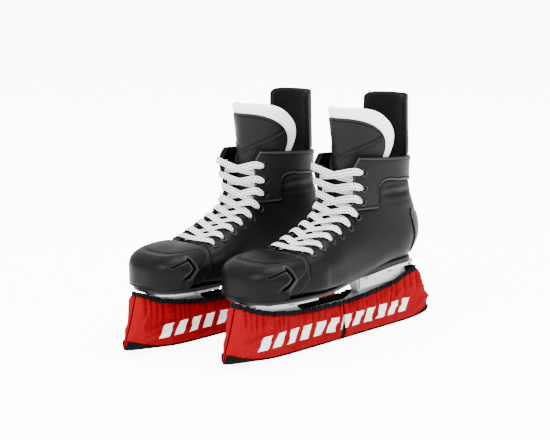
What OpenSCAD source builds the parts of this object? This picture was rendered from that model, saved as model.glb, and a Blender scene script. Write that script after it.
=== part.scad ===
// A pair of ice hockey skates standing in soft blade covers.
// Each skate is drawn at its own origin (heel at x = 0, toe towards +X, floor at z = 0, outer side
// towards +Y); the right skate is the mirror image of the left one.

/* [Boot] */
// Length of the boot from the back of the heel to the tip of the toe
boot_length = 290; // [250:1:330]
// Width of the boot across the ball of the foot
ball_width = 92; // [80:1:106]
// Width of the boot across the heel
heel_width = 68; // [58:1:78]
// Width of the boot at the collar
collar_width = 76; // [66:1:86]
// Height of the collar above the forefoot sole line
collar_height = 135; // [112:1:160]
// Height of the forefoot sole line above the floor
sole_height = 74; // [66:1:84]
// How much higher the heel stands than the forefoot
heel_lift = 10; // [4:0.5:14]
// How far the toe turns in, towards the big toe
toe_in = 4; // [0:0.5:8]
// Thickness of the moulded quarters
wall = 3.2; // [2.6:0.1:3.8]
// Width of the throat between the facings at the toe
throat_low = 38; // [34:1:44]
// Width of the throat between the facings at the collar
throat_high = 58; // [50:1:62]

/* [Toe cap] */
// Height of the toe box above the sole line
toe_height = 45; // [40:1:52]
// Thickness of the toe cap
cap_wall = 2.5; // [1.8:0.1:3]

/* [Lacing] */
// Distance from an eyelet's centre to the facing edge
eyelet_inset = 14; // [12:0.5:16]
// Outer radius of an eyelet's flange
eyelet_flange = 4.8; // [4:0.1:5.4]
// Radius of an eyelet's opening
eyelet_hole = 2.6; // [2.3:0.1:2.8]
// Width of the flat lace
lace_width = 8; // [6:0.5:9]
// Thickness of the flat lace
lace_thickness = 1.3; // [1:0.1:1.5]

/* [Tongue and tendon guard] */
// Height of the tongue's felt above the forefoot sole line
tongue_height = 196; // [175:1:215]
// Thickness of the tongue's felt
felt_thickness = 7; // [5:0.5:8]
// Width of the felt that shows round the tongue's face
felt_border = 13; // [8:0.5:16]
// Height of the tendon guard above the forefoot sole line
guard_height = 208; // [185:1:225]

/* [Blade and holder] */
// Thickness of the steel runner
runner_thickness = 3; // [2.8:0.1:3.4]
// Height of the steel runner in the middle
runner_height = 26; // [24:0.5:28]
// Thickness of the holder's web
web_thickness = 11; // [10:0.5:13]
// Thickness of the holder's flanges under the sole
flange_thickness = 3.5; // [2.5:0.1:4.5]
// Thickness of the outsole
outsole_thickness = 4; // [3:0.1:5]
// Radius of the holder's rivets
rivet_radius = 2.1; // [1.6:0.1:2.4]

/* [Blade cover] */
// How far the cover reaches in front of the toe
cover_front_reach = 22; // [18:1:32]
// How far the cover reaches behind the heel
cover_rear_reach = 36; // [28:1:42]
// Width of the filled cover
cover_width = 32; // [28:1:38]
// Thickness of the cover's fabric
fabric = 1.6; // [1.2:0.1:2]
// Thickness of the cover's wear strip
strip_thickness = 2.4; // [2:0.1:3]
// Height of the elastic binding
binding_height = 6; // [4:0.5:8]

/* [Pair] */
// Distance between the two skates' centre lines
spacing = 118; // [112:1:160]
// How far the right skate stands ahead of the left one
stagger = 39; // [0:1:80]

/* [Hidden] */
gap = 0.3;                         // running clearance between soft and curved faces
seat = 0.1;                        // clearance between parts that seat on each other
sides = [["left", 1], ["right", -1]];
PIECES = ["outer_quarter", "inner_quarter", "toe_cap", "heel_cap", "collar_band", "outsole",
          "shank", "insole_board", "footbed", "liner", "ankle_pads", "tongue_felt", "tongue_face",
          "tongue_top_felt", "tongue_top_face", "tendon_guard", "tendon_lining", "eyelets", "lace",
          "blade_holder", "runner", "holder_rivets", "runner_studs", "runner_nuts", "cover_front",
          "cover_rear", "cover_gusset", "cover_binding", "cover_strip"];

ball = ball_width / 2;
heel = heel_width / 2;
collar = collar_width / 2;
strip_front = boot_length + cover_front_reach;
mid_x = (strip_front - cover_rear_reach) / 2;

// ---------- helpers ----------
function mix(a, b, t) = a + (b - a) * t;
function clamp(t) = min(1, max(0, t));
function smooth(a, b, x) = let (t = clamp((x - a) / (b - a))) t * t * (3 - 2 * t);
function power(x, e) = x <= 0 ? 0 : pow(x, e);
function unit(v) = v / norm(v);
function steps(n) = [for (i = [0:n]) i / n];
// A smooth curve through a list of points (Catmull-Rom), at u from 0 to len - 1
function spline(p, u) =
    let (n = len(p) - 1, i = min(floor(max(u, 0)), n - 1), f = u - i,
         a = p[max(i - 1, 0)], b = p[i], c = p[i + 1], d = p[min(i + 2, n)])
    0.5 * (2 * b + (c - a) * f + (2 * a - 5 * b + 4 * c - d) * f * f
           + (3 * b - a - 3 * c + d) * f * f * f);

// A closed shell between two grids of points of the same size
module plate(outer, inner) {
    n = len(outer);
    m = len(outer[0]);
    back = n * m;
    function tri(a, b, c, d) = [[a, b, c], [a, c, d]];
    polyhedron(
        points = concat([for (row = outer) each row], [for (row = inner) each row]),
        faces = [
            for (i = [0:n - 2], j = [0:m - 2])
                each tri(i * m + j, i * m + j + 1, (i + 1) * m + j + 1, (i + 1) * m + j),
            for (i = [0:n - 2], j = [0:m - 2])
                each tri(back + i * m + j, back + (i + 1) * m + j,
                         back + (i + 1) * m + j + 1, back + i * m + j + 1),
            for (i = [0:n - 2])
                each tri(i * m, (i + 1) * m, back + (i + 1) * m, back + i * m),
            for (i = [0:n - 2])
                each tri(i * m + m - 1, back + i * m + m - 1,
                         back + (i + 1) * m + m - 1, (i + 1) * m + m - 1),
            for (j = [0:m - 2])
                each tri(j, back + j, back + j + 1, j + 1),
            for (j = [0:m - 2])
                each tri((n - 1) * m + j, (n - 1) * m + j + 1,
                         back + (n - 1) * m + j + 1, back + (n - 1) * m + j)
        ]);
}

// A tube through a list of rings with the same number of points, open or closed into a loop
module tube(rings, loop = false) {
    n = len(rings);
    m = len(rings[0]);
    last = loop ? n - 1 : n - 2;
    polyhedron(
        points = [for (ring = rings) each ring],
        faces = [
            for (i = [0:last], j = [0:m - 1])
                let (k = (i + 1) % n, l = (j + 1) % m)
                each [[i * m + j, k * m + l, i * m + l], [i * m + j, k * m + j, k * m + l]],
            if (!loop) [for (j = [0:m - 1]) j],
            if (!loop) [for (j = [m - 1:-1:0]) (n - 1) * m + j]
        ]);
}

// ---------- the last: the shape that every upper piece follows ----------
function toe_shift(x) = -toe_in * pow(clamp(x / boot_length * 2 - 1), 2);
function shifted(p, side) = [p[0], side * p[1] + toe_shift(p[0]), p[2]];
function sole_z(x) =
    sole_height + heel_lift * (1 - smooth(0.1, 0.59, x / boot_length));
function height(k) = sole_height + k * collar_height;
// One cross-section: where it meets the sole or the heel, where it meets the facing edge, half
// width, share of the depth at which it is widest, half the throat, and the roundness of its
// lower and upper quarter
function on_sole(x, ex, ez, w, widest, throat, low, high) =
    [x * boot_length, sole_z(x * boot_length), ex * boot_length, height(ez), w, widest,
     mix(throat_low, throat_high, throat) / 2, low, high];
function on_back(x, z, ex, ez, w, widest, throat, low, high) =
    [x * boot_length, height(z), ex * boot_length, height(ez), w, widest,
     mix(throat_low, throat_high, throat) / 2, low, high];
sections = [
    on_sole(0.905, 0.820, 0.270, ball - 8.0, 0.42, 0.00, 4.0, 2.2),
    on_sole(0.714, 0.714, 0.330, ball, 0.45, 0.02, 4.5, 2.2),
    on_sole(0.641, 0.662, 0.374, ball - 1.0, 0.45, 0.05, 4.5, 2.1),
    on_sole(0.552, 0.610, 0.426, mix(ball, heel, 0.25), 0.44, 0.10, 4.2, 2.0),
    on_sole(0.455, 0.562, 0.474, mix(ball, heel, 0.55), 0.42, 0.20, 4.0, 2.0),
    on_sole(0.338, 0.514, 0.533, mix(ball, heel, 0.80), 0.40, 0.30, 3.6, 1.9),
    on_sole(0.200, 0.486, 0.585, heel + 1.0, 0.38, 0.42, 3.2, 1.8),
    on_sole(0.083, 0.469, 0.637, heel + 1.0, 0.36, 0.50, 2.6, 1.8),
    on_back(0.010, 0.190, 0.459, 0.696, heel + 0.5, 0.36, 0.60, 2.2, 1.8),
    on_back(0.000, 0.330, 0.462, 0.756, heel + 2.0, 0.40, 0.70, 2.2, 1.8),
    on_back(0.026, 0.505, 0.466, 0.815, collar, 0.45, 0.80, 2.2, 1.8),
    on_back(0.059, 0.670, 0.471, 0.889, collar, 0.50, 0.88, 2.3, 1.8),
    on_back(0.072, 0.830, 0.472, 0.963, collar - 0.5, 0.50, 0.95, 2.3, 1.8),
    on_back(0.076, 1.000, 0.441, 1.050, collar, 0.50, 1.00, 2.4, 1.8)];
last_u = len(sections) - 1;
mid_v = 0.5;
// A point of a section in its own plane: [half width, share of the depth], v from 0 to 1
function profile(s, v) =
    v <= mid_v
    ? let (b = 90 * v / mid_v) [s[4] * power(sin(b), 2 / s[7]), s[5] * (1 - power(cos(b), 2 / s[7]))]
    : let (a = 90 * (v - mid_v) / (1 - mid_v))
      [s[6] + (s[4] - s[6]) * power(cos(a), 2 / s[8]), s[5] + (1 - s[5]) * power(sin(a), 2 / s[8])];
function skin(u, v) =
    let (s = spline(sections, u), q = profile(s, v))
    [mix(s[0], s[2], q[1]), q[0], mix(s[1], s[3], q[1])];
function skin_normal(u, v) =
    let (e = 0.01, a = skin(min(u + e, last_u), v) - skin(max(u - e, 0), v),
         b = skin(u, min(v + e, 1)) - skin(u, max(v - e, 0)))
    unit(cross(a, b));
function offset_skin(u, v, off) = skin(u, v) + off * skin_normal(u, v);
function throat_dir(u) = let (a = spline(sections, min(u + 0.3, last_u)),
                              b = spline(sections, max(u - 0.3, 0)))
    unit([a[2] - b[2], 0, a[3] - b[3]]);
// v of the point that lies y from the centre plane in the lower quarter
function v_of_y(u, y) = let (s = spline(sections, u)) mid_v * asin(power(y / s[4], s[7] / 2)) / 90;
// v of the point that lies the given share of the depth up the lower quarter
function v_of_depth(u, h) =
    let (s = spline(sections, u)) mid_v * acos(power(1 - clamp(h / s[5]), s[7] / 2)) / 90;
// v of the point that lies d from the facing edge, measured along the skin
function v_from_edge(u, d, v = 1) =
    let (step = 0.01, l = norm(skin(u, v) - skin(u, v - step)))
    d <= l ? v - step * d / l : v_from_edge(u, d - l, v - step);

// ---------- boot ----------
lasting_margin = 15;
seam = 0.15;
quarter_rows = 22;
quarter_cols = 9;
function quarter_foot(u) =
    v_of_y(u, mix(spline(sections, u)[4] - lasting_margin, seam, smooth(6.4, 7.8, u)));
module quarter(side) {
    rows = [for (t = steps(quarter_rows)) t * last_u];
    outer = [for (u = rows) [for (t = steps(quarter_cols)) skin(u, mix(quarter_foot(u), 1, t))]];
    inner = [for (u = rows) [for (t = steps(quarter_cols))
        let (p = offset_skin(u, mix(quarter_foot(u), 1, t), -wall)) [p[0], max(p[1], seam), p[2]]]];
    difference() {
        if (side > 0) plate([for (r = outer) [for (p = r) shifted(p, 1)]],
                            [for (r = inner) [for (p = r) shifted(p, 1)]]);
        else plate([for (r = inner) [for (p = r) shifted(p, -1)]],
                   [for (r = outer) [for (p = r) shifted(p, -1)]]);
        for (u = eyelet_u)
            at_eyelet(u, side) hull() cylinder(r = eyelet_hole + 0.7, h = 4 * wall, center = true, $fn = 12);
    }
}
module outer_quarter() color("#2a2b2d") quarter(1);
module inner_quarter() color("#2a2b2d") quarter(-1);

// The toe box: arches that turn about the foot's width, from the rear edge over to the front rim
cap_half = ball + 2.6;
cap_turns = 11;
function cap_rear(a) =
    let (h = sin(a)) boot_length * mix(mix(0.885, 0.786, clamp(h / 0.5)), 0.775, clamp((h - 0.5) / 0.5));
function cap_point(t, a, off) =
    let (rear = cap_rear(a), c = cos(a), s = sin(a),
         y = (cap_half - off) * sign(c) * power(abs(c), mix(0.5, 0.85, t)) * (1 - 0.06 * pow(1 - s, 6)),
         x = rear + (boot_length - off - rear) * power(s, mix(0.5, 0.85, t)) * power(sin(90 * t), 0.6),
         z = (toe_height * (1 - 0.13 * sin(90 * t)) - off) * power(s, 0.5) * power(cos(90 * t), 0.42))
    [x, y + toe_shift(x), sole_z(x) + seat + z];
module toe_cap() {
    corner = 0.3;
    across = [for (t = steps(18)) mix(corner, 180 - corner, t)];
    function grid(off) = [for (t = steps(cap_turns)) [for (a = across) cap_point(t, a, off)]];
    color("#242527") plate(grid(cap_wall), grid(0));
}

// A shell laid over or under the skin between two rows, its v range given by functions
module skin_band(rows, cols, out, in) {
    plate([for (r = rows) [for (c = cols) let (v = abs(c))
               shifted(offset_skin(r, v, out), c < 0 ? -1 : 1)]],
          [for (r = rows) [for (c = cols) let (v = abs(c))
               shifted(offset_skin(r, v, in), c < 0 ? -1 : 1)]]);
}
module heel_cap() color("#1d1e20") {
    cols = [for (t = steps(14)) mix(-0.40, 0.40, t)];
    skin_band([for (t = steps(6)) mix(7.6, 9.6, t)], cols, 1.6, 0.5);
}
module collar_band() color("#26272a") {
    cols = [for (t = steps(18)) mix(-0.66, 0.66, t)];
    skin_band([for (t = steps(4)) mix(11.6, last_u, t)], cols, 1.5, 0.5);
}
// Soft lining pieces, one solid on each side; thick follows the rows
module lining(rows, low, high, out, in) {
    for (side = [1, -1]) {
        a = [for (u = rows) [for (t = steps(7)) let (p = offset_skin(u, mix(low(u), high, t), -out(u)))
                shifted([p[0], max(p[1], seam), p[2]], side)]];
        b = [for (u = rows) [for (t = steps(7)) let (p = offset_skin(u, mix(low(u), high, t), -in(u)))
                shifted([p[0], max(p[1], seam), p[2]], side)]];
        if (side > 0) plate(a, b); else plate(b, a);
    }
}
bed_top = wall + 6.2;              // top of the footbed above the sole line
pad_thickness = 3;
function pad_at(u) = pad_thickness * smooth(6.5, 7.6, u) * (1 - smooth(11.4, 12.2, u));
function lining_foot(u) =
    let (s = spline(sections, u), depth = norm([s[2] - s[0], s[3] - s[1]]))
    mix(v_of_depth(u, (bed_top + 1) / depth), v_of_y(u, seam), smooth(7.2, 8.4, u));
module liner() color("#17181a")
    lining([for (t = steps(13)) mix(1, last_u, t)], function (u) lining_foot(u), 0.70,
           function (u) wall + 2 * gap + pad_at(u), function (u) wall + 2 * gap + pad_at(u) + 1.5);
module ankle_pads() color("#8a8c90")
    lining([for (t = steps(8)) mix(8.4, 10.8, t)], function (u) 0.24, 0.62,
           function (u) wall + 3 * gap, function (u) wall + pad_thickness - gap);

// ---------- sole ----------
// Half width of the sole's plan at x, before the toe's turn
function sole_half(x) =
    let (t = x / boot_length, toe = clamp((t - 0.74) / 0.245), back = clamp((0.12 - t) / 0.11))
    (ball - 1.5) * power(1 - pow(toe, 2.5), 0.4) * power(1 - pow(back, 2.3), 1 / 2.3)
    * mix(1, (heel - 3.5) / (ball - 1.5), 1 - smooth(0.36, 0.72, t));
module sole_plan(inset) {
    x0 = 0.01 * boot_length;
    x1 = boot_length - 1.5;
    run = [for (t = steps(40)) mix(x0, x1, (1 - cos(180 * t)) / 2)];
    offset(delta = -inset)
        polygon([for (x = run) [x, sole_half(x) + toe_shift(x)],
                 for (i = [len(run) - 2:-1:1]) [run[i], toe_shift(run[i]) - sole_half(run[i])]]);
}
// A layer of the sole between two heights over the sole line, from x0 to x1
module sole_layer(low, high, inset, x0, x1) {
    xs = [for (t = steps(16)) mix(x0, x1, t)];
    intersection() {
        translate([0, 0, sole_height - 40]) linear_extrude(80 + heel_lift) sole_plan(inset);
        translate([0, ball, 0]) rotate([90, 0, 0]) linear_extrude(2 * ball)
            polygon([for (x = xs) [x, sole_z(x) + low],
                     for (i = [len(xs) - 1:-1:0]) [xs[i], sole_z(xs[i]) + high]]);
    }
}
front_rivets = [for (x = [0.765, 0.835, 0.905], y = [-1, 1]) [x * boot_length, y * 0.42 * ball]];
rear_rivets = [for (x = [0.17, 0.24, 0.31], y = [-1, 1]) [x * boot_length, y * 0.38 * heel]];
rivets = concat(front_rivets, rear_rivets);
module rivet_holes(clear = seat)
    for (r = rivets)
        translate([r[0], r[1] + toe_shift(r[0]), 0])
            cylinder(r = rivet_radius + clear, h = 2 * sole_height, $fn = 24);
module outsole() color("#1f2022") difference() {
    sole_layer(-outsole_thickness, -seat, 0, 0, boot_length);
    rivet_holes();
}
module shank() color("#5b5d60") difference() {
    sole_layer(seat, wall + seat, lasting_margin + 2.5, 0.21 * boot_length, 0.88 * boot_length);
    rivet_holes();
}
module insole_board() color("#7a6a52") difference() {
    sole_layer(wall + 2 * gap, wall + gap + 2, 17, 0.14 * boot_length, 0.92 * boot_length);
    rivet_holes();
}
module footbed() color("#2d4a78")
    sole_layer(wall + 2 * gap + 2.2, bed_top, 14, 0.14 * boot_length, 0.92 * boot_length);

// ---------- tongue ----------
// Stations down the middle of the tongue: x, z, direction out of the boot, half width, wrap depth
tongue_line = [
    [0.770 * boot_length, height(0.262), 0.10, 0.99, 23, 4],
    [0.714 * boot_length, height(0.290), 0.15, 0.99, 24, 5],
    [0.660 * boot_length, height(0.335), 0.25, 0.97, 25, 6],
    [0.556 * boot_length, height(0.438), 0.45, 0.89, 27, 9],
    [0.468 * boot_length, height(0.550), 0.76, 0.65, 28, 16],
    [0.436 * boot_length, height(0.672), 0.89, 0.45, 28, 27],
    [0.438 * boot_length, height(0.800), 0.95, 0.31, 28.5, 38],
    [0.441 * boot_length, height(0.945), 0.99, 0.14, 29.5, 48],
    [0.444 * boot_length, height(1.080), 1.00, 0.02, 32, 58],
    [0.450 * boot_length, height(1.260), 1.00, -0.06, 36.5, 64],
    [0.460 * boot_length, sole_height + tongue_height, 1.00, -0.08, 40, 66]];
flex_u = 8;                        // station at which the tongue's top flexes
tongue_end = len(tongue_line) - 1;
function tongue_point(u, a, off) =
    let (s = spline(tongue_line, u), d = unit([s[2], s[3]]),
         w = s[4] + off, depth = s[5] + off, back = depth * (1 - cos(a)))
    [s[0] + d[0] * (off - back), w * sin(a) + toe_shift(s[0]), s[1] + d[1] * (off - back)];
// Station at which the tongue's top edge lies for a wrap angle, lower at the sides
tongue_shoulder = 1.5;
function tongue_top_u(a, drop) = tongue_end - drop - (tongue_shoulder - drop) * pow(abs(a) / 84, 3);
module tongue_part(u0, u1, wrap, off, thick, rows) {
    cols = [for (t = steps(14)) mix(-1, 1, t)];
    function grid(o) = [for (t = steps(rows)) let (u = mix(u0, u1, t))
        [for (c = cols) tongue_point(u, c * wrap(u), o)]];
    plate(grid(off - thick), grid(off));
}
module tongue_top(wrap, drop, off, thick) {
    cols = [for (t = steps(14)) mix(-1, 1, t) * wrap];
    function grid(o) = [for (t = steps(5)) [for (a = cols)
        tongue_point(mix(flex_u + 0.02, tongue_top_u(a, drop), t), a, o)]];
    plate(grid(off - thick), grid(off));
}
felt_seat = -1.9;                  // the felt's front under the tongue's face
function felt_wrap(u) = mix(62, 84, smooth(2, 5, u));
module tongue_felt() color("#ececea")
    tongue_part(0, flex_u - 0.02, function (u) felt_wrap(u), felt_seat, felt_thickness * 0.7, 9);
module tongue_face() color("#2b2c2e")
    tongue_part(0, flex_u - 0.02, function (u) felt_wrap(u) - 9, -0.1, 1.2, 9);
module tongue_top_felt() color("#ececea") tongue_top(84, 0, felt_seat, felt_thickness);
module tongue_top_face() color("#2b2c2e") tongue_top(73, 0.5, -0.1, 1.2);

// ---------- tendon guard ----------
guard_half = collar - 3;
guard_front = 0.186 * boot_length;  // centre of the guard's curve
guard_depth = 0.103 * boot_length;
guard_wrap = 80;
guard_base = height(1.0) + 2.2;
guard_top = sole_height + guard_height;
guard_lining = 4.5;
module guard_shell(off, thick, trim) {
    cols = [for (t = steps(12)) mix(-guard_wrap, guard_wrap, t)];
    function top(a) = guard_top - trim - 12 * pow(abs(a) / guard_wrap, 6);
    function grid(o) = [for (t = steps(5)) [for (a = cols)
        let (z = mix(guard_base, top(a), t), w = guard_half - 2.5 * t)
        [guard_front - (guard_depth + o) * cos(a), (w + o) * sin(a), z]]];
    plate(grid(off), grid(off - thick));
}
module tendon_guard() color("#202123") guard_shell(0, 2, 0);
module tendon_lining() color("#141415") guard_shell(-2.2, guard_lining, 1.5);

// ---------- eyelets and lace ----------
eyelet_u = [11.7, 10.05, 8.25, 6.35, 5, 4, 3, 2, 1.05];
module at_eyelet(u, side) {
    v = v_from_edge(u, eyelet_inset);
    p = shifted(skin(u, v), side);
    n = let (k = skin_normal(u, v)) [k[0], side * k[1], k[2]];
    tilt = acos(n[2]);
    turn = atan2(n[1], n[0]);
    translate(p) rotate([0, tilt, turn]) children();
}
eyelet_lift = 0.45;
module eyelets() color("#0e0e0f")
    for (side = [1, -1], u = eyelet_u)
        at_eyelet(u, side) rotate_extrude($fn = 32)
            polygon([[eyelet_hole, eyelet_lift - wall - 0.2], [eyelet_hole + 0.45, eyelet_lift - wall - 0.2],
                     [eyelet_hole + 0.45, eyelet_lift], [eyelet_flange, eyelet_lift],
                     [eyelet_flange - 0.3, eyelet_lift + 0.6], [eyelet_hole + 0.6, eyelet_lift + 1.0],
                     [eyelet_hole, eyelet_lift + 0.6]]);

// The route of one half of the lace, from the middle of the toe bar up to the last eyelet.
// Each entry is [point, direction of the flat, width]
lace_high = eyelet_lift + 2.3;
lace_low = wall + 1.6;
function mirrored(p, side) = [p[0], side * p[1], p[2]];
function over(u, d, side, lift, w) =
    let (v = v_from_edge(u, d)) [shifted(offset_skin(u, v, lift), side), throat_dir(u), w];
function throat_mid(u, lift) =
    let (s = spline(sections, u), d = unit([s[2] - s[0], s[3] - s[1]]))
    [[s[2] + d[0] * lift, toe_shift(s[2]), s[3] + d[1] * lift], throat_dir(u), lace_width];
function into_eyelet(u, side) = [
    over(u, 0.2, side, lace_high - 0.2, lace_width),
    over(u, eyelet_inset - 6, side, lace_high, lace_width * 0.85),
    over(u, eyelet_inset - 1, side, lace_high - 0.2, 2.8),
    over(u, eyelet_inset + 0.2, side, 0.4, 2.4),
    over(u, eyelet_inset, side, -lace_low, 2.6)];
function out_from_under(u, next, side, side_lift) = [
    over(mix(u, next, 0.12), eyelet_inset - 7, side, -lace_low, lace_width * 0.8),
    over(mix(u, next, 0.25), 0.6, side, -lace_low - 0.7, lace_width),
    throat_mid(mix(u, next, 0.55), side_lift)];
function lace_half(side) = [
    for (k = [len(eyelet_u) - 1:-1:0])
        let (s = side * ((len(eyelet_u) - 1 - k) % 2 == 0 ? 1 : -1), u = eyelet_u[k])
        each concat(into_eyelet(u, s), k > 0 ? out_from_under(u, eyelet_u[k - 1], s, s < 0 ? 0.2 : -1.8) : [])];
function reversed(l) = [for (i = [len(l) - 1:-1:0]) l[i]];
module lace() color("#f2f2f0") {
    stops = concat(reversed(lace_half(1)), [throat_mid(0.95, 1.6)], lace_half(-1));
    n = len(stops) - 1;
    points = [for (s = stops) s[0]];
    tube([for (u = [0:n])
        let (p = spline(points, u),
             t = unit(spline(points, min(u + 0.2, n)) - spline(points, max(u - 0.2, 0))),
             i = min(floor(u), n - 1), f = u - i,
             flat = mix(stops[i][1], stops[i + 1][1], f), w = mix(stops[i][2], stops[i + 1][2], f),
             wide = unit(flat - (flat * t) * t), thick = cross(t, wide),
             a = wide * w / 2, b = thick * lace_thickness / 2)
        [p + a + b, p - a + b, p - a - b, p + a - b]]);
}

// ---------- holder and runner ----------
holder_front = 0.985 * boot_length;
holder_rear = 0.008 * boot_length;
front_tower = [0.715 * boot_length, holder_front];
rear_tower = [holder_rear, 0.365 * boot_length];
rail_low = strip_thickness + fabric + 17;
rail_high = rail_low + 22;
runner_base = strip_thickness + fabric + 0.5;
slot_top = runner_base + runner_height + seat;
stud_x = [0.18 * boot_length, 0.82 * boot_length];
stud_radius = 2;
window_low = slot_top + 11;
window_high = window_low + 8;
function flange_under(x) = sole_z(x) - outsole_thickness - seat;
module web() {
    up = flange_thickness + 0.5;
    translate([0, web_thickness / 2, 0]) rotate([90, 0, 0]) linear_extrude(web_thickness)
        polygon([[holder_rear - 6, rail_low + 4], [holder_rear + 6, rail_low], [holder_front - 10, rail_low],
                 [holder_front + 3, rail_low + 8], [holder_front, rail_high],
                 [holder_front - 6, flange_under(holder_front) - up],
                 [front_tower[0] + 4, flange_under(front_tower[0]) - up],
                 [front_tower[0] - 6, rail_high + 8], [front_tower[0] - 20, rail_high],
                 [rear_tower[1] + 6, rail_high], [rear_tower[1] - 8, rail_high + 6],
                 [rear_tower[1] - 3, flange_under(rear_tower[1]) - up],
                 [rear_tower[0] + 14, flange_under(0) - up], [rear_tower[0] + 4, rail_high + 12],
                 [rear_tower[0] - 3, rail_high]]);
}
module tower_pad(x0, x1, half) {
    z0 = rail_high + 12;
    top = min(flange_under(x0), flange_under(x1)) - flange_thickness;
    translate([x0, -half, z0]) cube([x1 - x0, 2 * half, top - z0 + 0.2]);
}
module blade_holder() color("#cfd1d3") difference() {
    union() {
        web();
        sole_layer(-outsole_thickness - seat - flange_thickness, -outsole_thickness - seat, 5,
                   front_tower[0] - 3, holder_front - 7);
        sole_layer(-outsole_thickness - seat - flange_thickness, -outsole_thickness - seat, 4,
                   4, rear_tower[1]);
        tower_pad(front_tower[0] + 6, holder_front - 14, web_thickness / 2 + 3);
        tower_pad(rear_tower[0] + 20, rear_tower[1] - 8, web_thickness / 2 + 3);
    }
    translate([-boot_length, -runner_thickness / 2 - seat, 0])
        cube([3 * boot_length, runner_thickness + 2 * seat, slot_top]);
    rivet_holes();
    for (x = stud_x) {
        translate([x, 0, 0]) cylinder(r = stud_radius + seat, h = window_high + 4, $fn = 24);
        translate([x - 6, -ball, window_low]) cube([12, 2 * ball, window_high - window_low]);
    }
}
module runner() color("#b9bcc0") {
    rise = 7;
    r0 = -0.018 * boot_length;
    r1 = boot_length;
    top = runner_base + runner_height;
    lower = [for (t = steps(24)) let (x = mix(r0, r1, t), e = abs(2 * t - 1))
        [x, runner_base + rise * pow(e, 5) + (e > 0.97 ? 6 * (e - 0.97) / 0.03 : 0)]];
    translate([0, runner_thickness / 2, 0]) rotate([90, 0, 0]) linear_extrude(runner_thickness)
        polygon(concat(lower, [[r1 - 4, top - 3], [r1 - 12, top], [r0 + 14, top], [r0 + 5, top - 3]]));
}
module holder_rivets() color("#8f8064") for (r = rivets) {
    x = r[0];
    up = sole_z(x) + wall + gap + 2;
    low = sole_z(x) - outsole_thickness - seat - flange_thickness;
    translate([x, r[1] + toe_shift(x), 0]) {
        translate([0, 0, low - 1.2]) cylinder(r = rivet_radius, h = up - low + 1.2, $fn = 24);
        translate([0, 0, low - 1.9]) cylinder(r = rivet_radius + 1.8, h = 1.4, $fn = 24);
    }
}
module runner_studs() color("#9a9ca0") for (x = stud_x)
    translate([x, 0, slot_top + seat]) cylinder(r = stud_radius, h = window_high - slot_top - 1, $fn = 24);
module runner_nuts() color("#9a9ca0") for (x = stud_x)
    translate([x, 0, window_low + seat]) difference() {
        cylinder(r = 4, h = 3.6, $fn = 6);
        translate([0, 0, -1]) cylinder(r = stud_radius + 0.05, h = 6, $fn = 24);
    }

// ---------- blade cover ----------
// Heights of the cover's lower and upper edge along the blade, as [share of length, height]
function cover_bottom(t) = strip_thickness + 6 * pow(clamp((t - 0.72) / 0.28), 2) + 4 * pow(clamp((0.16 - t) / 0.16), 2);
cover_edge = [[62], [59], [52], [47], [44], [44], [45], [49], [55.5], [66]];
function cover_top(t) = spline(cover_edge, t * (len(cover_edge) - 1))[0] + sole_height - 74;
function cover_x(t) = mix(-cover_rear_reach, strip_front, t);
function cover_point(t, v, off) =
    let (s = 2 * t - 1, e = sin(90 * s), tt = (1 + e) / 2,
         close = power(1 - pow(abs(e), 14), 0.3),
         low = cover_bottom(tt) + off, high = cover_top(tt),
         a = 90 * abs(v), w = (cover_width / 2 - off) * close,
         z = mix(low, high, 1 - power(cos(a), 0.9)),
         lean = 16 * clamp(tt * 4 - 3) * clamp((z - 12) / 55) - 27 * clamp(1 - 4 * tt) * clamp((z - 26) / 36))
    [cover_x(tt) - lean - off * e, sign(v) * w * power(sin(a), 0.62) * (1 - 0.16 * pow(abs(v), 5)) * (abs(v) < 1e-6 ? 0 : 1), z];
gusset_t = [0.478, 0.502];
nose = 0.0006;                     // share of the length left open at each end seam
module cover_part(t0, t1, rows, swell = 0) {
    cols = [for (t = steps(12)) mix(-1, 1, t)];
    function grid(off) = [for (t = steps(rows)) [for (v = cols) cover_point(mix(t0, t1, t), v, off)]];
    plate(grid(fabric), grid(-swell));
}
module cover_front() color("#d5121a") cover_part(gusset_t[1] + 0.001, 1 - nose, 12);
module cover_rear() color("#d5121a") cover_part(nose, gusset_t[0] - 0.001, 12);
module cover_gusset() color("#141415") cover_part(gusset_t[0], gusset_t[1], 2);
module cover_binding() {
    n = 18;
    ends = [0.03, 0.98];
    run = concat([for (t = steps(n)) cover_point(mix(ends[0], ends[1], t), 1, 0)],
                 [for (t = steps(n)) cover_point(mix(ends[1], ends[0], t), -1, 0)]);
    m = len(run);
    function ring(i) =
        let (p = run[i], d = run[(i + 1) % m] - run[(i + m - 1) % m], out = unit([-d[1], d[0], 0]),
             a = out * 0.3, b = out * -(fabric + 0.6), low = [0, 0, 0.5], high = [0, 0, binding_height])
        [p + a + low, p + a + high, p + b + high, p + b + low];
    color("#141415") tube([for (i = [0:m - 1]) ring(i)], loop = true);
}
module cover_strip() color("#101011") {
    half = 9;
    xs = [for (t = steps(24)) mix(0.03, 0.97, t)];
    low = [for (t = xs) [cover_x(t), cover_bottom(t) - strip_thickness]];
    high = [for (t = xs) [cover_x(t), cover_bottom(t) - seat]];
    translate([0, half, 0]) rotate([90, 0, 0]) linear_extrude(2 * half)
        polygon(concat(low, [for (i = [len(high) - 1:-1:0]) high[i]]));
}

// ---------- the pair ----------
module place(side)
    translate([-mid_x - side * stagger / 2, side * spacing / 2, 0])
        mirror([0, side < 0 ? 1 : 0, 0]) children();

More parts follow.
